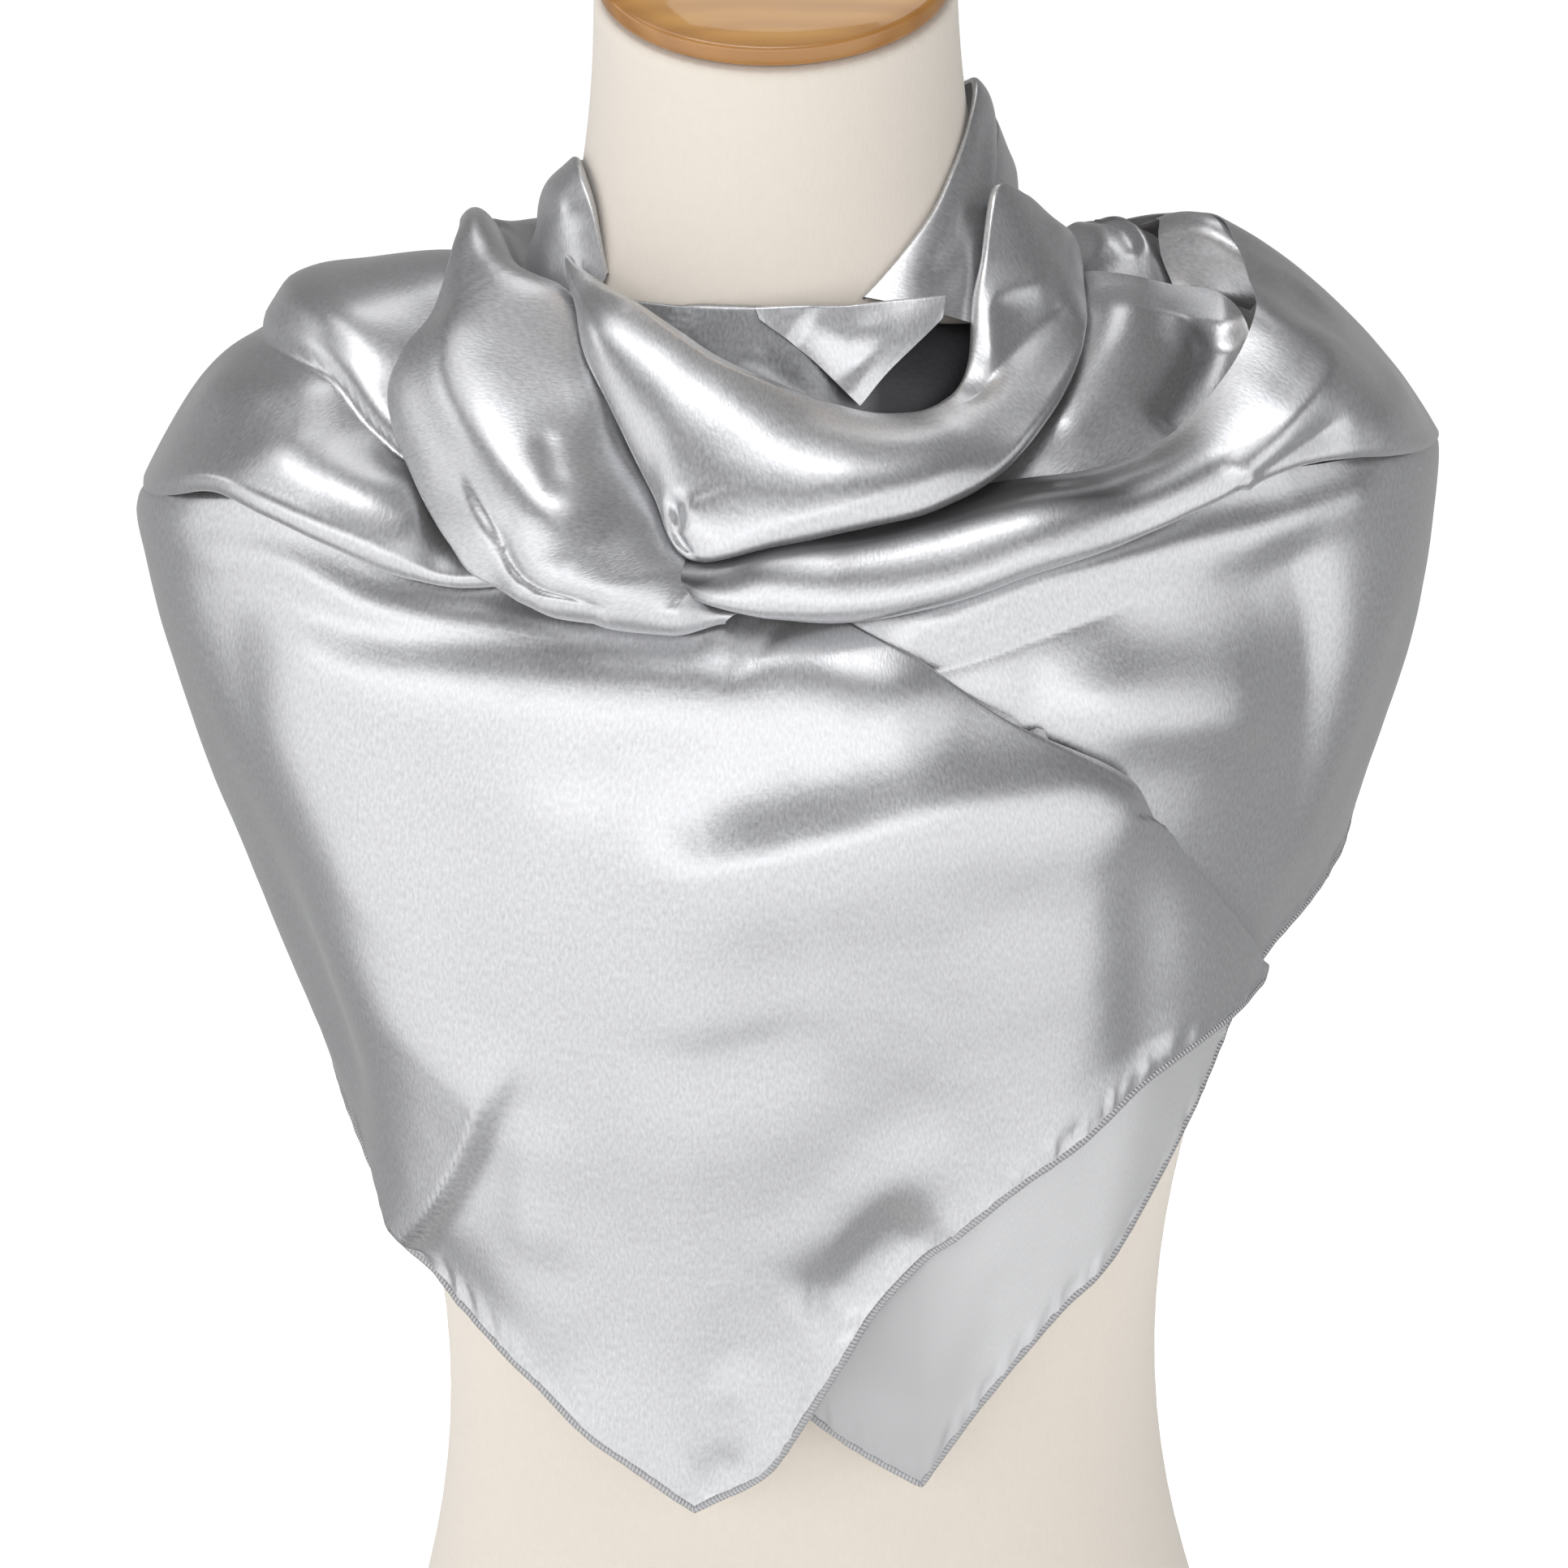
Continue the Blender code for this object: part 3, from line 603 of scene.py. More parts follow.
def makeSatin(name, look):
    finish = Finish(name, Metallic=look["metallic"], Sheen_Weight=look["sheen"], Sheen_Roughness=0.4)
    place = finish.coordinates("UV")
    threads = finish.coordinates("UV", look["threads"])
    grain = finish.noise(threads, look["grain"], detail=1.5, roughness=0.6)
    cloud = finish.noise(place, look["cloud"], detail=3)
    slub = finish.noise(finish.coordinates("UV", look["slubs"]), look["slub"], detail=1)
    sparkle = (grain - 0.5) * look["contrast"] + 0.5
    shade = sparkle * 0.7 + cloud * 0.2 + slub * 0.1
    colour = finish.mixColour(shade, look["dark"], look["colour"])
    # painted shade: the colour is blended towards a shadow colour across Object X
    if "deepFrom" in look:
        side = finish.node("SeparateXYZ", Vector=finish.coordinates("Object"))
        depth = finish.node("MapRange", s0=side, s1=look["deepFrom"], s2=look["deepTo"])
        colour = finish.mixColour(depth, colour, look["deep"])
    # painted shadow: the colour darkens near the upper edge, fading out along the cloth
    if "tucked" in look:
        along, down = finish.node("SeparateXYZ", outs=2, Vector=place)
        shadowBand = finish.node("MapRange", s0=down, s1=look["tuckedTo"], s2=look["tuckedFrom"])
        start = finish.node("MapRange", s0=along, s1=look["tuckEnd"], s2=look["tuckFade"])
        colour = finish.mixColour(shadowBand * start, colour, look["tucked"])
    gloss = (grain - 0.5) * look["grainGloss"] + (cloud - 0.5) * look["cloudGloss"]
    finish.feed(Base_Color=colour, Roughness=look["roughness"] + gloss)
    finish.bump(grain * 0.8 + slub * 0.2, look["grainDepth"])
    return finish.material


def makeHemFinish(name, look):
    finish = Finish(name, Metallic=look["metallic"])
    place = finish.node("TexCoord", out=2)
    run, around = finish.node("SeparateXYZ", outs=2, Vector=place)
    twist = (run / look["pitch"] + around) * (2 * math.pi)
    rope = twist.math("SINE") * 0.5 + 0.5
    uneven = finish.noise(place, look["uneven"], detail=2)
    finish.feed(Base_Color=finish.mixColour(rope * 0.7 + uneven * 0.3, look["dark"], look["colour"]),
                Roughness=look["roughness"] + (uneven - 0.5) * 0.2)
    finish.bump(rope, look["depth"])
    return finish.material


def makeCoverFinish(name, look):
    finish = Finish(name, Roughness=look["roughness"], Sheen_Weight=look["sheen"], Sheen_Roughness=0.6)
    place = finish.coordinates("Object")
    upright = finish.coordinates("Object", (1, 1, 0.35))
    fibres = finish.noise(upright, look["knit"], detail=2, roughness=0.6)
    fuzz = finish.noise(place, look["fuzz"], detail=4, roughness=0.6)
    cloud = finish.noise(place, look["cloud"], detail=3)
    shade = fibres * 0.35 + fuzz * 0.35 + cloud * 0.3
    finish.feed(Base_Color=finish.mixColour(shade, look["shade"], look["colour"]))
    finish.bump(fibres * 0.6 + fuzz * 0.4, look["depth"])
    return finish.material


def makeWoodFinish(name, look):
    finish = Finish(name, Coat_Weight=look["coat"], Coat_Roughness=look["coatRoughness"])
    warp = finish.noise(finish.coordinates("Object", (1, 9, 9)), look["warp"], detail=3)
    pores = finish.coordinates("Object", (0.6, 30, 30))
    fine = finish.noise(pores, look["fine"], detail=3, roughness=0.65)
    bands = finish.node("TexWave", settings={"wave_type": "BANDS", "bands_direction": "Y"},
                        Vector=finish.coordinates("Object", (0.25, 1, 1)), Scale=look["grain"],
                        Distortion=look["distortion"], Detail=3.0, Detail_Scale=1.4)
    shade = bands * 0.3 + warp * 0.35 + fine * 0.35
    colour = finish.mixColour(shade, look["dark"], look["light"])
    away = finish.node("VectorMath", settings={"operation": "DISTANCE"}, out=1,
                       s0=finish.coordinates("Object"), s1=look["middle"])
    edge = finish.node("MapRange", s0=away, s1=look["rimFrom"], s2=look["rimTo"])
    finish.feed(Base_Color=finish.mixColour(edge * look["rimShare"], colour, look["rim"]),
                Roughness=look["roughness"] + (fine - 0.5) * 0.15)
    finish.bump(fine, look["depth"])
    return finish.material


def makeFloorFinish(name):
    finish = Finish(name, Roughness=0.9, Emission_Strength=studio["floorGlow"])
    speck = finish.noise(finish.coordinates("Object"), 3)
    colour = finish.mixColour(speck, studio["floorColour"], studio["floorSpeck"])
    finish.feed(Base_Color=colour, Emission_Color=colour)
    return finish.material


finishes = {
    "satin": makeSatin("silver satin", satin),
    # satin inside the cowl: a darker copy with painted shade and painted shadow
    "innerSatin": makeSatin("satin inside the cowl", innerSatin),
    # satin of the roll: a painted shadow where it goes under the cowl
    "rollSatin": makeSatin("satin of the roll", rollSatin),
    # wrong side of the satin, with painted shade beside the front panel's hem
    "wrongSide": makeSatin("satin wrong side", wrongSide),
    "hem": makeHemFinish("hem stitches", hemThread),
    "cover": makeCoverFinish("off-white knit", cover),
    "wood": makeWoodFinish("varnished wood", wood),
    "floor": makeFloorFinish("studio floor"),
}
print("finishes made")


# the dress form, in mm
torso = {
    # height, half width, centre, half depth, rise of the back above the front (mm)
    "rings": [
        (0, 150, 8, 106, 0),
        (2, 150, 8, 106, 0),
        (40, 148, 8, 105, 0),
        (90, 138, 5, 96, 0),
        (140, 122, 1, 85, 0),
        (194, 115, -2, 77, 0),
        (250, 119, -5, 85, 0),
        (305, 133, -10, 101, 0),
        (355, 149, -13, 113, 0),
        (405, 160, -8, 111, 0),
        (455, 174, 0, 100, 0),
        (495, 179, 3, 91, 0),
        (525, 163, 2, 82, 0),
        (548, 118, -2, 74, 0),
        (563, 82, -5, 68, 0),
        (578, 67, -7, 64, 2),
        (600, 62, -9, 60, 6),
        (630, 58, -12, 56, 14),
        (656.5, 57.1, -14.9, 53.1, 19.8),
        (658, 57, -15, 53, 20),
    ],
    "segments": 64,
}

cap = {
    "radius": 56.0,
    "rim": 7.0,
    "rounding": 2.2,
    "roundSteps": 6,
    "dome": 4.0,
    "domeRings": (0.93, 0.8, 0.62, 0.42, 0.2, 0.05),  # shares of the radius
    "lift": 0.3,  # above the neck
    "segments": 128,
    "sharpAngle": 40,
}


def clearSelection():
    if bpy.context.object and bpy.context.object.mode == "EDIT":
        bpy.ops.object.mode_set(mode="OBJECT")
    bpy.ops.object.select_all(action="DESELECT")


def loftRings(name, rings, segments):
    # a filled circle, extruded from ring to ring; each ring may slope up towards the back
    clearSelection()
    place = Vector((0, rings[0][2] * mm, rings[0][0] * mm))
    bpy.ops.mesh.primitive_circle_add(vertices=segments, radius=1, fill_type="NGON", location=place)
    piece = bpy.context.object
    piece.name = name
    bpy.ops.object.mode_set(mode="EDIT")
    wide, deep, slope = 1, 1, 0
    for height, halfWidth, centre, halfDepth, rise in rings:
        step = Vector((0, centre * mm, height * mm)) - place
        place = place + step
        if step.length > 0:
            bpy.ops.mesh.extrude_region_move(TRANSFORM_OT_translate={"value": step})
        wideNow, deepNow = halfWidth * mm, math.hypot(halfDepth, rise) * mm
        grow = (wideNow / wide, deepNow / deep, deepNow / deep)
        bpy.ops.transform.resize(value=grow, center_override=place)
        slopeNow = math.atan2(rise, halfDepth)
        if slopeNow != slope:
            bpy.ops.transform.rotate(value=slope - slopeNow, orient_axis="X", center_override=place)
        wide, deep, slope = wideNow, deepNow, slopeNow
    bpy.ops.mesh.select_all(action="SELECT")
    bpy.ops.mesh.normals_make_consistent(inside=False)
    bpy.ops.object.mode_set(mode="OBJECT")
    bpy.ops.object.transform_apply(location=True, rotation=True, scale=True)
    return piece


def applyAll(piece):
    bpy.context.view_layer.objects.active = piece
    for modifier in list(piece.modifiers):
        bpy.ops.object.modifier_apply(modifier=modifier.name)


def makeTorso():
    piece = loftRings("form_body", torso["rings"], torso["segments"])
    smooth = piece.modifiers.new("smooth", "SUBSURF")
    smooth.levels = smooth.render_levels = 2
    applyAll(piece)
    bpy.ops.object.shade_smooth()
    piece.data.materials.append(finishes["cover"])
    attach(piece, "root")
    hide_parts("form_torso")
    print("made the form's body")


def makeCap():
    rings = []
    rim, rounding, radius, steps = cap["rim"], cap["rounding"], cap["radius"], cap["roundSteps"]
    for step in range(steps + 1):
        angle = math.pi / 2 * step / steps
        rings.append((rounding * (1 - math.cos(angle)), radius - rounding * (1 - math.sin(angle))))
    for step in range(1, steps + 1):
        angle = math.pi / 2 * step / steps
        rings.append((rim - rounding * (1 - math.sin(angle)), radius - rounding * (1 - math.cos(angle))))
    for share in cap["domeRings"]:
        rings.append((rim + cap["dome"] * (1 - share ** 2), radius * share))
    rings = [(height, size, 0, size, 0) for height, size in rings]
    piece = loftRings("form_cap", rings, cap["segments"])
    height, _, centre, halfDepth, rise = torso["rings"][-1]
    slope = math.atan2(rise, halfDepth)
    lift = cap["lift"]
    piece.location = (0, (centre - lift * math.sin(slope)) * mm, (height + lift * math.cos(slope)) * mm)
    piece.rotation_euler = (slope, 0, 0)
    bpy.ops.object.transform_apply(location=True, rotation=True, scale=True)
    bpy.ops.object.shade_smooth_by_angle(angle=math.radians(cap["sharpAngle"]))
    piece.data.materials.append(finishes["wood"])
    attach(piece, "root")
    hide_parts("form_neck_cap")
    print("made the cap")


makeTorso()
makeCap()


# the scarf, stretch by stretch, in mm

# gathers run in from the hem, deepest at "inset" and fading over "pucker"
panelHem = {
    "width": 2.4,
    "height": 1.6,
    "around": 10,  # sides of its tube
    "pitch": 4.5,
    "inset": 4.5,
    "pucker": 4.0,
    "depth": 1.6,
    "stretch": 40.0,
    "seed": 3.7,
    "uneven": 0.18,  # share of its thickness
    "unevenPitch": 5,
    "taper": 2,  # it narrows to "tip" of its thickness at both ends
    "tip": 0.3,
}

frontPanel = {
    "rows": [
        (-206, 110, 528, -206, 112, 519, 1, 0, 1),
        (-191, 109, 533, -191, 113, 502, 2, 0, 1),
        (-176, 109, 536, -176, 113, 478, 2, 0, 1),
        (-158, 112, 532, -158, 119, 452, 4, 0, 1),
        (-140, 130, 523, -140, 131, 418, 6, 0, 2),
        (-124, 150, 516, -124, 145, 382, 8, 0, 4),
        (-110, 174, 510.5, -111, 152, 352, 10, 0, 5),
        (-97, 197, 502, -99, 153, 328, 9, 0, 5),
        (-84, 206.5, 503.5, -88, 152, 312, 8, 0, 5),
        (-72, 197, 510.5, -78, 149, 298, 13, 0, 6),
        (-61, 175, 514, -68, 147, 283, 17, 0, 6),
        (-50, 154, 499, -57, 148, 262, 20, 0, 4),
        (-39, 138, 493, -46, 142, 240, 23, 0, 3),
        (-27, 131, 490, -35, 133, 218, 27, 0, 2),
        (-16, 126, 488, -25, 123, 200, 29, 0, 1),
        (-7, 125.4, 486, -17.6, 117, 187, 31, 0, 1),
        (1, 126.4, 487.5, -6, 115, 201, 32, 0, 1),
        (7, 134.5, 480.5, 1, 116, 221, 29, 0, 1),
        (16, 147, 467, 13, 123, 259, 20, 0, 1),
        (25, 157, 449, 27, 138, 291, 11, 0, 1),
        (34.5, 163, 431, 37, 147, 308, 7, 0, 1),
        (42, 165, 412, 45, 153, 324, 4, 0, 1),
        (53, 165, 383, 55, 159, 335, 2, 0, 1),
        (67, 163, 349, 67.5, 162, 344, 0, 0, 0.5),
    ],
    "corners": (15, 17),
    "along": 14,
    "across": 118,
    "crest": 0.33,
    "topArc": 90,
    "folds": [
        ([(-93, 0.02), (-82, 0.02), (-68, 0.03)], 1.2, 4, 12),
        ([(-76, 0.075), (-56, 0.07), (-37, 0.05), (-18, 0.035), (-3, 0.03)], 1.6, 6, 6, 0.15, 0.1),
        ([(-66, 0.17), (-56, 0.17), (-37, 0.115), (-18, 0.09), (-3, 0.08), (10, 0.06), (20, 0.03)],
         3.0, 12, 20, 0.15, 0.1),
        ([(-24, 0.3), (-14, 0.285), (2, 0.26), (20, 0.195), (36, 0.08)], 6.5, 15, 24, 0.35, 0.0),
        ([(0, 0.02), (-4, 0.055), (-9, 0.085)], -0.9, 2.5, 2.0, 0.0, 0.4, 1),
        ([(-33, 0.52), (-38, 0.62), (-42.6, 0.72), (-50, 0.86), (-57, 0.98)],
         8.0, 3.5, 40, 0.3, 0.03, 1),
        ([(-80, 0.14), (-74, 0.35), (-69, 0.6), (-62, 0.92)], -2.6, 16, 20, 0.3, 0.2),
        ([(-66, 0.16), (-61, 0.32), (-53, 0.46), (-44, 0.56), (-37, 0.64)], 5.0, 26, 40),
        ([(-60, 0.99), (-50, 0.995), (-43, 1.0), (-36, 1.0), (-30, 1.0)], -6.0, 20, 20, 0.2),
        ([(-33, 0.6), (-35, 0.72), (-36, 0.84)], 2.2, 13, 13),
        ([(1, 0.9), (7, 0.93), (14, 0.95), (21, 0.98)], -6.5, 17, 12, 0.3, 0.25),
        ([(-4, 0.8), (6, 0.78), (16, 0.8), (24, 0.84)], 2.4, 13, 13, 0.35),
        ([(-20, 0.99), (-13, 0.97), (-9, 0.99)], -2.0, 8, 8, 0.3, 0.2),
        ([(-14, 0.84), (-9, 0.9), (-7, 0.99)], 2.2, 9, 8, 0.3, 0.0),
        ([(34, 0.12), (40, 0.33), (43, 0.7), (45, 0.95)], -1.8, 14, 12, 0.2, 0.1),
        ([(-26, 0.5), (-14, 0.48), (-2, 0.48), (8, 0.5)], -1.8, 10, 18, 0.4, 0.4),
        ([(-26, 0.18), (-25, 0.3), (-27, 0.42)], 0.9, 14, 14, 0.4, 0.4),
    ],
    "flat": (0.84, 0.31),
    "area": 0.124,
    "restsOn": ["form_torso", "satin_right_panel"],
    "hem": panelHem,
}
makeStretch("front_panel", frontPanel)


underPanel = {
    "rows": [
        (-26, 138, 404, -22, 121, 262, 2, 0),
        (-12, 135, 406, -9, 109, 234, 3, 0),
        (0, 134, 407, 1.3, 104, 215, 4, 0),
        (9, 134, 407, 8.4, 103, 204, 4, 0),
        (19, 137, 405, 20.2, 107, 190, 5, 0),
        (29, 143, 402, 28.3, 114, 214, 5, 0),
        (39, 149, 397, 39.2, 127, 245, 4, 0),
        (48, 154, 390, 46.9, 135, 262, 4, 0),
        (57, 152, 380, 56.6, 145, 298, 2, 0),
        (66, 155.5, 372, 66.3, 150, 328, 1, 0),
        (76, 155.7, 376, 76, 154.2, 350, 1, 0),
    ],
    "corners": (4,),
    "along": 14,
    "across": 90,
    "folds": [
        ([(16, 0.3), (14, 0.6), (10, 0.95)], -2.4, 14, 10, 0.2, 0.1),
        ([(30, 0.6), (24, 0.75), (18, 0.9)], 1.6, 11, 11),
    ],
    "flat": (0.33, 0.22),
    "area": 0.035,
    "restsOn": ["form_torso"],
    "hem": panelHem,
}
# its satin has painted shade beside the front panel's hem
makeStretch("under_panel", underPanel, "wrongSide")


rightPanel = {
    "rows": [
        (3, 125, 488.4, 9, 141, 448, 2, 0),
        (12, 131, 490.4, 18, 149, 424, 4, 0),
        (22, 137, 494, 27, 153.5, 404, 6, 0),
        (32, 144, 501, 36, 156, 384, 8, 0),
        (42, 154, 508, 46, 156, 362, 10, 0),
        (50, 165, 514, 57, 155.6, 345, 13, 0),
        (58, 181, 516, 65, 155.6, 340, 14, 0),
        (68, 197.5, 515.5, 71, 160, 351, 13, 0),
        (78, 206.5, 513, 79, 170, 363, 9, 0),
        (89, 205, 511, 89, 180, 376, 8, 0),
        (100, 194, 511, 100, 186, 395, 7, 0),
        (112, 174, 513, 112, 175, 413, 7, 0),
        (126, 148, 517, 126, 156, 432, 5, 0),
        (142, 131, 522, 142, 136, 450, 4, 0),
        (160, 119, 527, 160, 123, 468, 3, 0),
        (177, 114, 529, 177, 119, 486, 2, 0),
        (193, 115, 528, 193, 120, 505, 2, 0),
        (207, 121, 523, 207, 123.5, 515, 1, 0),
    ],
    "corners": (6,),
    "along": 14,
    "across": 100,
    "crest": 0.4,
    "folds": [
        ([(57, 0.08), (61, 0.4), (66, 0.78)], -4.5, 13, 30, 0.15, 0.2),
        ([(62, 0.03), (74, 0.025), (84, 0.025), (94, 0.03)], 1.6, 4, 13),
        ([(12, 0.2), (27, 0.11), (42, 0.1), (55, 0.1), (69, 0.06)], 3.2, 7, 9, 0.1, 0.1),
        ([(12, 0.46), (18, 0.36), (26, 0.27), (36, 0.21), (45, 0.16)], -1.1, 2.5, 4, 0.1, 0.3, 1),
        ([(27, 0.46), (46, 0.42), (62, 0.43)], 9.0, 19, 15, 0.35, 0.35),
        ([(76, 0.25), (75, 0.5), (73, 0.85)], -1.0, 14, 16, 0.3, 0.2),
        ([(50, 0.7), (60, 0.66), (72, 0.7)], 0.8, 10, 10, 0.4, 0.4),
        ([(120, 0.15), (112, 0.5), (104, 0.9)], 1.6, 14, 16, 0.3, 0.2),
        ([(150, 0.1), (140, 0.5), (132, 0.95)], -1.6, 13, 15, 0.3, 0.1),
    ],
    "flat": (0.61, 0.19),
    "area": 0.058,
    "restsOn": ["form_torso"],
    "hem": panelHem,
}
makeStretch("right_panel", rightPanel)


leftShoulder = {
    "rows": [
        (-190, 90, 548, -190, 107, 541, 2, 2, 0, 2),
        (-172, 90, 548, -172, 121, 531, 3, 3, 0, 2),
        (-150, 90, 552, -150, 129, 526, 5, 4, 0, 2),
        (-134, 93, 556, -134, 144, 522, 6, 7, 0, 3),
        (-120, 95, 561, -120, 163, 513, 8, 13, 0, 4),
        (-106, 95, 567, -106, 186, 506, 9, 19, 0, 4),
        (-94, 95, 570, -94, 203.5, 501.5, 10, 22, 0, 3),
        (-84, 95, 570, -83, 206.5, 501.5, 10, 20, 0, 3),
        (-75, 96, 567, -73, 204, 509.5, 8, 13, 0, 3.5),
        (-67, 100, 557, -65, 198, 516, 6, 8, 0, 4),
        (-60, 108, 545.5, -58, 189, 512.5, 6, 2, 0, 4),
        (-53, 116, 527, -51, 176, 503, 6, 4, 0, 4),
        (-45, 122, 511, -43, 155, 490, 5, 2, 0, 3),
        (-35, 121, 506, -34, 140, 490.8, 4, 1, 0, 3),
        (-25, 122, 503, -27, 136, 492, 3, 2, 0, 3),
    ],
    "along": 14,
    "across": 60,
    "lowArc": 110,
    "folds": [
        ([(-104, 0.6), (-92, 0.59), (-80, 0.56), (-70, 0.52), (-61.6, 0.47), (-56, 0.42), (-50, 0.36)],
         -4.6, 3, 10, 0.2, 0.1, 1.4),
        ([(-112, 0.46), (-95, 0.46), (-81, 0.43), (-70, 0.38), (-60, 0.28)], 4.6, 15, 8),
        ([(-86, 0.76), (-76, 0.73), (-66, 0.7)], 1.8, 9, 12, 0.4, 0.4),
        ([(-66, 0.84), (-58, 0.8), (-50, 0.76), (-44, 0.72)], 3.6, 15, 14, 0.3, 0.2),
        ([(-150, 0.2), (-130, 0.45), (-116, 0.8)], 2.4, 10, 12),
        ([(-160, 0.55), (-140, 0.6), (-122, 0.55)], -2.0, 8, 9),
    ],
    "flat": (0.5, 0.13),
    "area": 0.03,
    "restsOn": ["form_torso"],
}
makeStretch("left_shoulder", leftShoulder)


rightRoll = {
    "rows": [
        (-13, 131, 500.5, -13.5, 141.5, 491, 2, 1, 0, 3),
        (-8, 126, 504, -9, 142.5, 486.5, 4, 1, 0, 3),
        (0, 124, 509, -1, 143, 482.5, 5, 1, 0, 4),
        (10, 124, 512, 8, 143, 481, 5, 1, 0, 4),
        (21, 125, 515, 19, 147, 485, 6, 2, 0, 4),
        (31, 132, 518, 29, 153, 492.5, 6, 3, 0, 4),
        (41, 144, 521, 39, 162, 498, 7, 4, 0, 4),
        (50, 156, 530, 48, 175, 507.5, 7, 5, 0, 4),
        (57, 164, 547, 56, 190, 516, 8, 6, 0, 4),
        (63, 164, 562, 64, 204, 518, 6, 7, 0, 3.5),
        (71, 154, 568, 73, 209.5, 514.5, 5, 6, 0, 2.5),
        (79, 146, 575, 81, 209.5, 511.5, 4, 6, 0, 1.5),
        (88, 139, 580, 89, 208.5, 509.5, 4, 6, 0, 1.5),
        (99, 124, 577, 99, 201, 509.5, 5, 8, 0, 2.5),
        (110, 114, 571, 110, 184, 512.5, 6, 10, 0, 3),
        (121, 106, 564, 121, 164, 519, 6, 9, 0, 3),
        (134, 103, 559, 134, 148, 523, 5, 6, 0, 3),
        (150, 98, 557, 150, 134, 528, 4, 4, 0, 2),
        (168, 96, 556, 168, 127, 532, 3, 3, 0, 2),
        (184, 96, 555, 184, 127, 535, 3, 3, 0, 2),
        (200, 96, 555, 200, 125, 540, 3, 3, 0, 2),
        (216, 97, 557, 216, 112, 554, 1, 1, 0, 2),
    ],
    "along": 12,
    "across": 60,
    "lowArc": 110,
    "folds": [
        ([(1, 0.12), (13, 0.13), (24, 0.13), (34, 0.11), (44, 0.09), (53, 0.08)], -1.5, 5, 8, 0.2, 0.2),
        ([(-8, 0.62), (3, 0.5), (13, 0.44), (24, 0.42), (34, 0.42), (44, 0.42)], 1.6, 8, 10, 0.1),
        ([(-6, 0.97), (8, 0.95), (19, 0.95), (30, 0.95), (42, 0.97)], 5.0, 17, 4, 0.25),
        ([(50, 0.98), (53, 0.86), (56.5, 0.68), (61, 0.56), (66, 0.46)], 3.2, 6, 9, 0.05, 0.4, 1.6),
        ([(52.5, 1.0), (56, 0.92), (62, 0.82)], -3.0, 3.5, 7, 0.0, 0.4, 1.4),
        ([(62, 1.0), (72, 0.84), (84, 0.7)], 1.4, 9, 10, 0.2, 0.4),
        ([(61, 0.12), (68, 0.22), (80, 0.3)], -1.6, 9, 11),
        ([(140, 0.2), (124, 0.45), (108, 0.75)], 2.0, 10, 12),
        ([(170, 0.6), (146, 0.6), (126, 0.66)], -1.8, 8, 9),
    ],
    "flat": (0.68, 0.105),
    "area": 0.033,
    "restsOn": ["form_torso"],
}
# its satin has a painted shadow along its upper edge, under the cowl
makeStretch("right_roll", rightRoll, "rollSatin")


leftCowl = {
    "rows": [
        (-172, 89, 562, -172, 101, 559, 2, 3, 0, 2),
        (-151, 86, 562, -151, 104, 559, 3, 4, 0, 2),
        (-130, 84, 563, -130, 107, 564, 3, 7, 0, 2),
        (-110, 83.5, 562.5, -110, 106, 572, 2, 10, 0, 2),
        (-93, 84, 565.5, -93, 103, 580, 1, 12, 0, 2),
        (-77, 84.5, 568, -80, 104, 582, 1, 10, 0, 3),
        (-60, 85.5, 568, -71, 111, 576, 3, 7, 0, 3),
        (-45, 85.5, 563, -65, 121, 562, 5, 5, 0, 3),
        (-34, 89, 552, -63, 134, 552, 8, 6, 0, 3),
        (-26, 95, 541, -59.5, 143.5, 539, 10, 7, 0, 2),
        (-20, 104, 528, -50, 151, 520, 11, 7, 0, 1.5),
        (-15, 113, 515, -41.5, 157, 503, 11, 6, 0, 1.5),
        (-11, 118, 505, -37, 155.5, 492, 9, 4, 0, 2),
        (-8, 121, 497, -27, 150, 488, 4, 2, 0, 3),
        (-4, 121, 492, -17, 140, 482.5, 2, 1, 0, 3),
        (3, 122, 491, -8, 138, 481, 2, 1, 0, 3),
    ],
    "along": 12,
    "across": 64,
    "lowArc": 110,
    "folds": [
        ([(-66, 0.12), (-50, 0.1), (-40, 0.08), (-31, 0.08), (-22, 0.08)], 4.0, 4, 24),
        ([(-70, 0.8), (-60, 0.74), (-50, 0.68), (-39, 0.62), (-30, 0.56), (-21, 0.5)],
         3.0, 18, 9, 0.2, 0.2),
        ([(-32.5, 0.43), (-29.5, 0.46)], -0.8, 4, 4, 0.0, 0.0),
        ([(-42, 0.76), (-38, 0.77), (-34, 0.79), (-29, 0.9), (-23, 0.99)],
         -2.0, 2.4, 1.6, 0.6, 0.0, 1.2),
        ([(-43, 0.8), (-38, 0.82), (-34, 0.85), (-30, 0.95)], 1.0, 2.5, 6, 0.6, 0.1, 1.6),
        ([(-112, 0.5), (-105, 0.38), (-98, 0.06)], -2.0, 3.5, 5, 0.2, 0.0, 1.5),
        ([(-36, 0.98), (-28, 0.98), (-18, 0.99), (-8, 0.98)], 8.0, 17, 5, 0.35, 0.2),
        ([(-160, 0.4), (-140, 0.5), (-118, 0.45)], 2.0, 8, 9),
    ],
    "flat": (0.38, 0.095),
    "area": 0.0155,
    "restsOn": ["satin_left_shoulder"],
}
makeStretch("left_cowl", leftCowl)


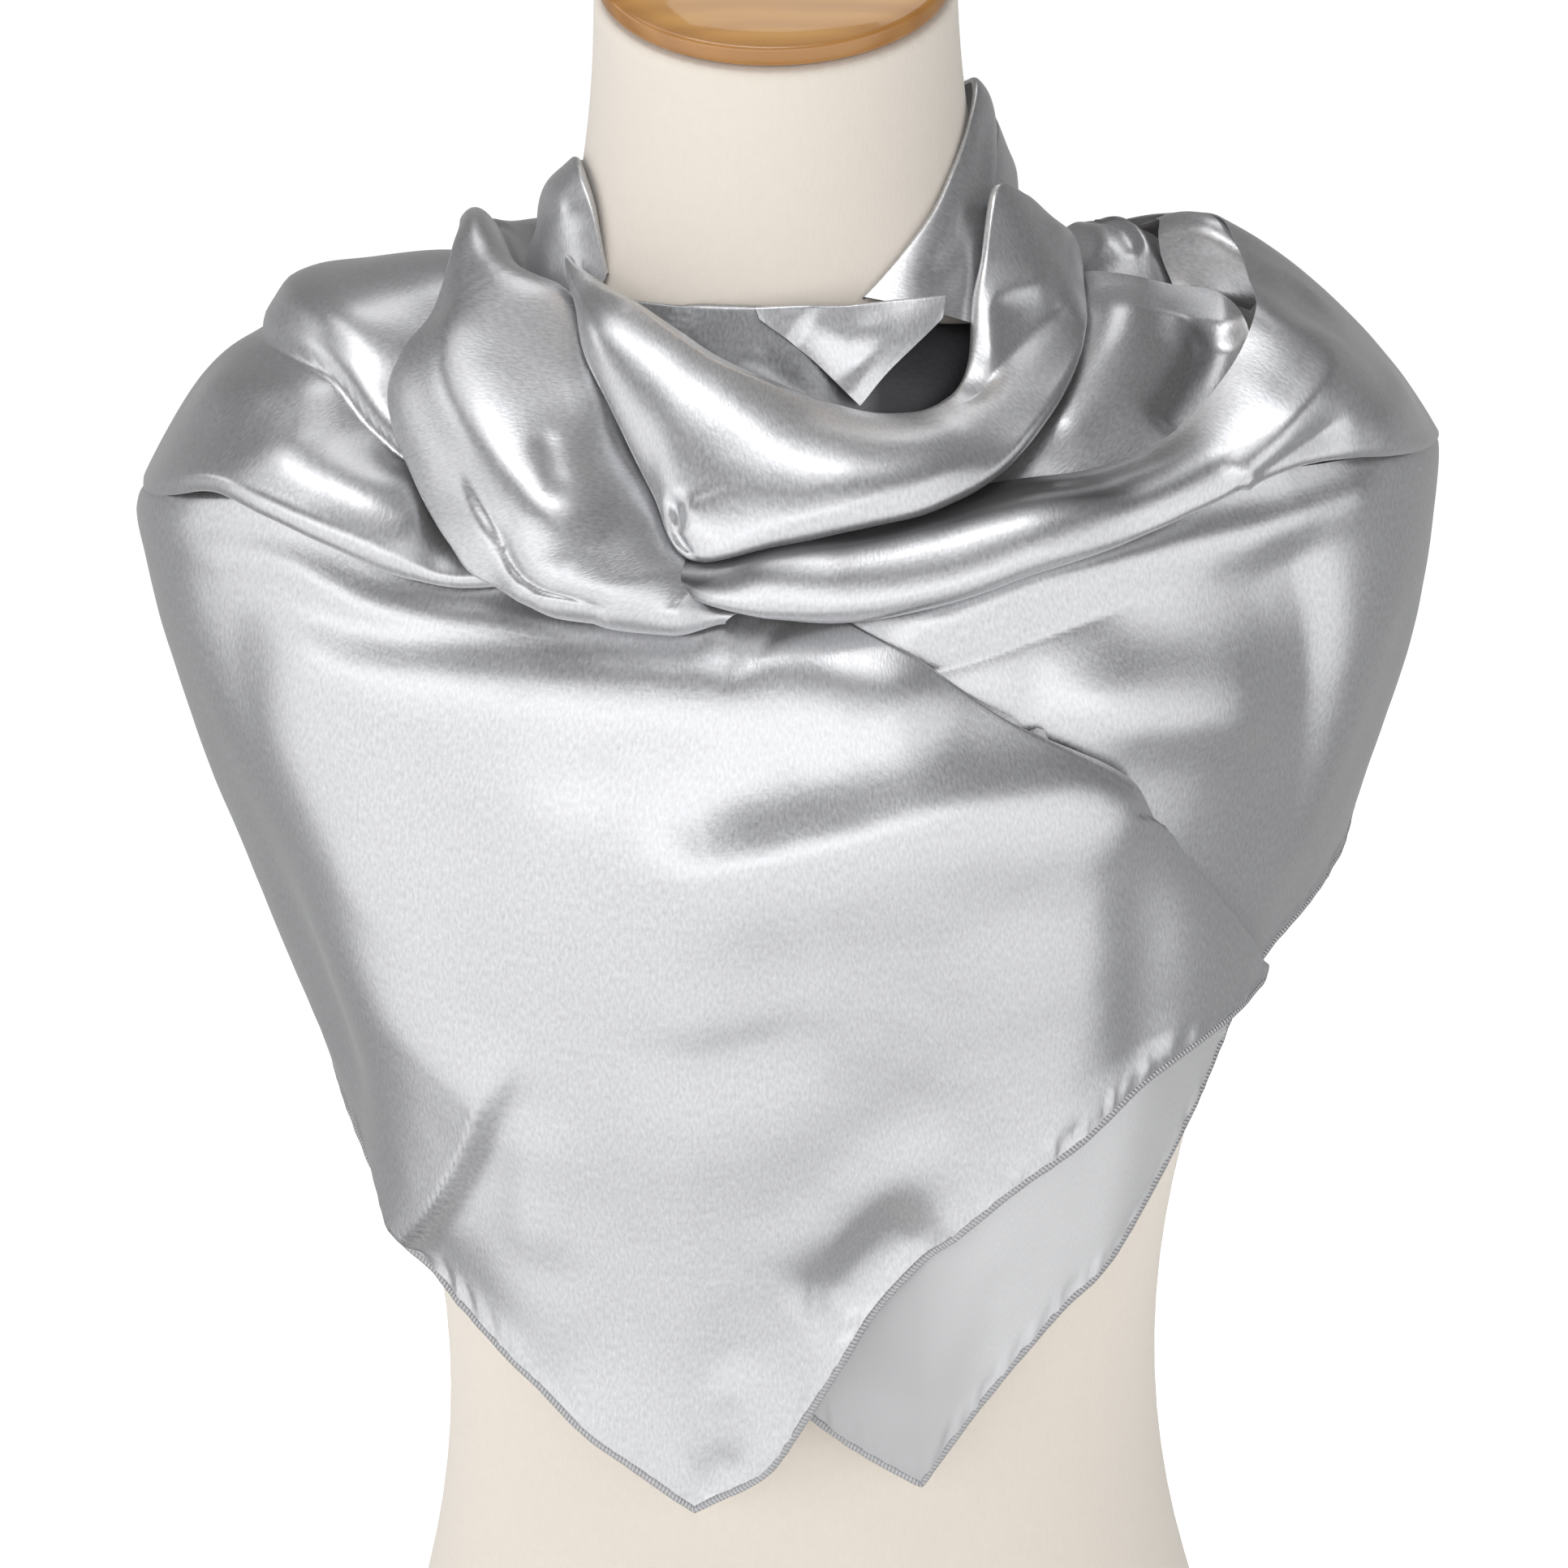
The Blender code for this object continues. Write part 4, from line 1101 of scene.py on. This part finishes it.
frontCowl = {
    "rows": [
        (-53, 83, 580, -50, 87, 574, 1, 1, 3, 2),
        (-43, 85, 576, -38, 100, 561, 3, 2, 3, 2),
        (-31, 88, 570, -28, 114, 543, 5, 4, 3, 3),
        (-20, 92, 563, -19, 127, 516, 7, 6, 4, 3),
        (-11, 96, 555, -13, 139, 499, 7, 7, 4, 3),
        (-1, 99, 548, -1, 137, 504, 7, 7, 4, 3),
        (8, 102, 542, 8, 137, 508, 7, 6, 4, 3),
        (17, 105, 538, 19, 137, 512, 6, 5, 4, 3),
        (26, 105, 540, 29, 135, 521, 4, 3, 4, 3),
        (34, 100, 550, 38, 130, 536, 2, 0, 3, 3),
        (43, 90, 573, 48, 121, 547, 0, -3, 2, 2),
        (54, 83, 598, 59, 111, 556, 1, -3, 2, 2),
        (66, 84, 594, 70, 102, 563, 1, 0, 2, 2),
        (80, 85, 584, 82, 97, 564, 2, 1, 2, 2),
        (98, 86, 576, 98, 96, 560, 2, 1, 2, 2),
        (118, 85, 572, 118, 96, 556, 2, 1, 2, 2),
        (140, 83, 571, 140, 96, 555, 2, 1, 2, 2),
        (162, 82, 571, 162, 93, 557, 2, 1, 2, 2),
        (184, 80.5, 573, 184, 85.5, 563, 1, 1, 2, 2),
        (204, 79, 575, 204, 82.5, 565, 1, 1, 2, 2),
    ],
    "along": 12,
    "across": 64,
    "topArc": 150,
    "lowArc": 100,
    "folds": [
        ([(-42, 0.14), (-24, 0.11), (-12, 0.09), (6, 0.08)], 4.2, 4, 26, 0.3, 0.4),
        ([(-12, 0.95), (0, 0.93), (10, 0.88), (20, 0.8), (30, 0.66)], 3.0, 18, 8, 0.35),
        ([(-13, 1.0), (-14.5, 0.9), (-15.5, 0.82)], -2.4, 2.6, 4, 0.0, 0.3, 1.4),
        ([(-14, 0.97), (-12, 0.86), (-13, 0.76)], 1.6, 4, 9, 0.1, 0.4),
        ([(35, 0.3), (40, 0.1), (44, 0.14), (52, 0.48), (58, 0.66)], 2.0, 6, 5, 0.2, 0.2, 1.6),
        ([(27, 0.1), (35, 0.24), (44, 0.5), (57, 0.82)], -2.0, 5, 5, 0.2, 0.1, 1.4),
        ([(62, 0.5), (80, 0.45), (100, 0.5)], 1.4, 6, 7),
        ([(110, 0.4), (140, 0.55), (165, 0.45)], -1.2, 6, 7),
    ],
    "flat": (0.54, 0.075),
    "area": 0.0165,
    "restsOn": ["satin_left_cowl"],
}
makeStretch("front_cowl", frontCowl)


neckWrap = {
    "rows": [
        (19, 75.6, 568, 39, 92, 559, 1, 1, 1.3),
        (29, 73.1, 578, 45, 88, 566, 1, 1, 1.3),
        (41, 71, 590, 51, 83, 576, 1, 1, 1.3),
        (53, 68, 603, 59, 78, 588, 1, 1, 1.3),
        (69, 65, 617, 68, 74, 600, 1, 1, 1.3),
        (86, 63, 625, 86, 69, 613, 1, 1, 1.3),
        (104, 61, 622, 104, 68, 613, 1, 1, 1.3),
        (125, 61, 616, 125, 70, 602, 1, 1, 1.3),
        (150, 60, 611, 150, 70, 594, 1, 1, 1.3),
        (172, 57.5, 608, 172, 65.5, 598, 1, 1, 1.3),
        (192, 56, 606, 192, 61, 600, 1, 1, 1.3),
    ],
    "along": 12,
    "across": 28,
    "topArc": 140,
    "folds": [
        ([(24, 0.5), (44, 0.55), (64, 0.5), (84, 0.5)], -1.4, 6, 6, 0.2, 0.2),
        ([(110, 0.5), (140, 0.4), (175, 0.55)], 1.2, 5, 6),
    ],
    "flat": (0.22, 0.036),
    "area": 0.0038,
    "restsOn": ["form_torso"],
}
makeStretch("neck_wrap", neckWrap)


neckFlap = {
    "rows": [
        (-6, 78.6, 566.5, -5, 80.6, 563, 0, 0, 0.9),
        (5, 79.4, 567, 5.5, 85.4, 552, 0, 0, 0.9),
        (14, 81.4, 567, 14.7, 92.4, 537, 1, 0, 0.9),
        (24, 84.4, 568, 21, 92.9, 548, 1, 0, 0.9),
        (34, 90.4, 568.5, 32, 93.4, 562, 0, 0, 0.9),
    ],
    "corners": (2,),
    "along": 14,
    "across": 36,
    "topArc": 140,
    "folds": [
        ([(0.5, 0.96), (6, 0.96), (13, 0.96)], -1.6, 14, 6, 0.2, 0.2),
        ([(2, 0.3), (12, 0.35), (24, 0.3)], 0.6, 5, 6),
    ],
    "flat": (0.082, 0.036),
    "area": 0.0011,
    "restsOn": ["satin_neck_wrap"],
}
makeStretch("neck_flap", neckFlap)


neckRoll = {
    "rows": [
        (62, 74.5, 589, 64, 79, 574, 0, 0, 1.2),
        (75, 70.2, 602, 77, 77, 575, 2, 0, 1.2),
        (90, 69.6, 610, 92, 76, 578, 2, 0, 1.2),
        (106, 69.6, 612, 108, 76, 582, 2, 0, 1.2),
        (126, 73.5, 608, 128, 77, 582, 2, 0, 1.2),
        (148, 74, 601, 150, 79, 580, 2, 0, 1.2),
        (172, 73, 599, 172, 79, 582, 2, 0, 1.2),
        (190, 73, 600, 190, 79, 590, 2, 0, 1.2),
        (202, 74, 598, 202, 77, 593, 1, 0, 1.2),
    ],
    "along": 12,
    "across": 28,
    "topArc": 140,
    "folds": [
        ([(80, 0.5), (110, 0.55), (150, 0.5), (185, 0.5)], 1.4, 6, 6, 0.2, 0.2),
    ],
    "flat": (0.192, 0.034),
    "area": 0.0043,
    "restsOn": ["satin_neck_wrap"],
}
makeStretch("neck_roll", neckRoll)


innerCowl = {
    "rows": [
        (-40, 79, 568, -40, 83, 560, 1, 0, 1.0),
        (-30, 78, 567, -30, 84, 549, 1, 0, 1.0),
        (-18, 77, 566, -18, 85, 539, 1, 0, 1.0),
        (-5, 77, 566, -5, 86, 530, 1, 0, 1.0),
        (7, 77, 565, 7, 87, 525, 1, 0, 1.0),
        (18, 77, 563, 18, 89, 524, 1, 0, 1.0),
        (28, 79, 560, 28, 92, 526, 1, 0, 1.0),
        (38, 84, 558, 38, 96, 533, 1, 0, 1.0),
        (46, 90, 558, 46, 101, 543, 2, 0, 1.0),
    ],
    "along": 12,
    "across": 36,
    "topArc": 140,
    "folds": [
        ([(-34, 0.98), (-18, 0.98), (-4, 0.98), (14, 0.98)], 3.4, 24, 4, 0.2),
        ([(-10, 0.3), (0, 0.55), (8, 0.8)], 0.8, 4, 5, 0.3, 0.2),
    ],
    "flat": (0.155, 0.045),
    "area": 0.0043,
    "restsOn": ["form_torso"],
}
# its satin is darkened by painted shade, with a painted shadow in its hollow
makeStretch("inner_cowl", innerCowl, "innerSatin")


rightValley = {
    "rows": [
        (84, 92, 560, 22, 107, 516, 2, 10),
        (80, 98, 565, 26, 116, 512, 3, 9),
        (79, 112, 564.5, 32, 125, 510, 4, 9),
        (80, 126, 561, 38, 135, 509, 5, 8),
        (80, 139, 559, 46, 147, 512, 3, 6),
        (72, 152, 554, 53, 160, 519, 0, 2),
        (64, 163, 540, 58, 171, 523, 0, 0),
    ],
    "along": 12,
    "across": 80,
    "folds": [
        ([(1.6, 0.1), (1.9, 0.35), (2.1, 0.62), (1.9, 0.88)], 3.0, 12, 9, 0.25, 0.2),
        ([(4.4, 0.15), (4.2, 0.45), (3.9, 0.8)], -5.0, 11, 9, 0.2, 0.2),
        ([(0.6, 0.3), (0.8, 0.55), (0.9, 0.85)], -1.6, 4, 5, 0.2, 0.2, 1.6),
        ([(3.0, 0.2), (3.2, 0.4)], 1.4, 5, 6),
    ],
    "flat": (0.12, 0.11),
    "area": 0.0071,
    "restsOn": ["form_torso"],
    "byRow": True,
}
makeStretch("right_valley", rightValley)


shoulderPleat = {
    "rows": [
        (125, 95.6, 560, 86, 96.4, 560, 0, 2),
        (124, 98.5, 562, 84, 101, 561, 0, 7),
        (122, 100, 563, 83, 107, 561, 0, 10),
        (119, 103, 564, 82.5, 114, 560, 0, 12),
        (112, 108, 567, 83, 121, 558, 0, 13),
        (106, 117, 557, 84, 132, 550, 0, 6),
    ],
    "along": 10,
    "across": 60,
    "folds": [
        ([(3.0, 0.2), (3.4, 0.5), (3.2, 0.85)], -1.8, 4, 4, 0.2, 0.2),
        ([(1.6, 0.2), (1.8, 0.55), (1.6, 0.85)], 1.2, 4, 4, 0.2, 0.2),
    ],
    "flat": (0.09, 0.036),
    "area": 0.0028,
    "restsOn": ["form_torso"],
    "byRow": True,
}
makeStretch("shoulder_pleat", shoulderPleat)


shoulderFold = {
    "rows": [
        (83, 126, 557, 80, 150, 553, 0, 1),
        (87.5, 121.5, 566, 79, 155, 560, 0, 4),
        (90, 120.5, 573, 80.5, 156, 567, 0, 5),
        (94, 121.5, 576.5, 85, 154, 570, 0, 5),
        (99, 119, 574, 94, 141, 570, 0, 4),
        (106, 115, 569, 103, 125, 568, 0, 2),
    ],
    "along": 12,
    "across": 40,
    "folds": [
        ([(1.0, 0.35), (2.2, 0.45), (3.4, 0.5), (4.4, 0.5)], 1.2, 9, 8, 0.3, 0.2),
    ],
    "flat": (0.072, 0.03),
    "area": 0.0012,
    "restsOn": ["satin_right_roll"],
    "byRow": True,
}
makeStretch("shoulder_fold", shoulderFold)


leftCollar = {
    "rows": [
        (-180, 63, 602, -180, 74, 586, 2, 1, 1.5),
        (-158, 64, 599, -158, 77, 580, 2, 1, 1.5),
        (-136, 65, 597, -136, 80, 571, 2, 1, 1.5),
        (-114, 65, 598, -114, 81, 568, 2, 1, 1.5),
        (-98, 64.5, 600, -98, 81.5, 569, 2, 3, 1.5),
        (-85, 65, 603, -86, 82, 567, 2, 4, 1.5),
        (-73, 67, 605, -74, 82, 566, 2, 4, 1.5),
        (-62, 70, 601, -62, 83, 565, 1, 3, 1.5),
        (-54, 71.5, 591, -54, 82.5, 563.5, 1, 1, 1.5),
        (-46, 75, 574, -47, 81, 563, 0, 0, 1.5),
    ],
    "along": 14,
    "across": 40,
    "topArc": 140,
    "folds": [
        ([(-100, 0.3), (-84, 0.34), (-68, 0.36), (-56, 0.4)], 1.6, 7, 8, 0.3, 0.2),
        ([(-110, 0.8), (-88, 0.72), (-70, 0.66)], -1.2, 5, 6),
        ([(-170, 0.4), (-150, 0.55), (-126, 0.5)], 1.2, 6, 6),
    ],
    "flat": (0.19, 0.044),
    "area": 0.0056,
    "restsOn": ["form_torso"],
}
makeStretch("left_collar", leftCollar)


# floor, light and view
makeFloor()
makeWorld()
makeLamps()
makeCamera()
bpy.context.scene.view_settings.view_transform = "Standard"
print("studio ready")
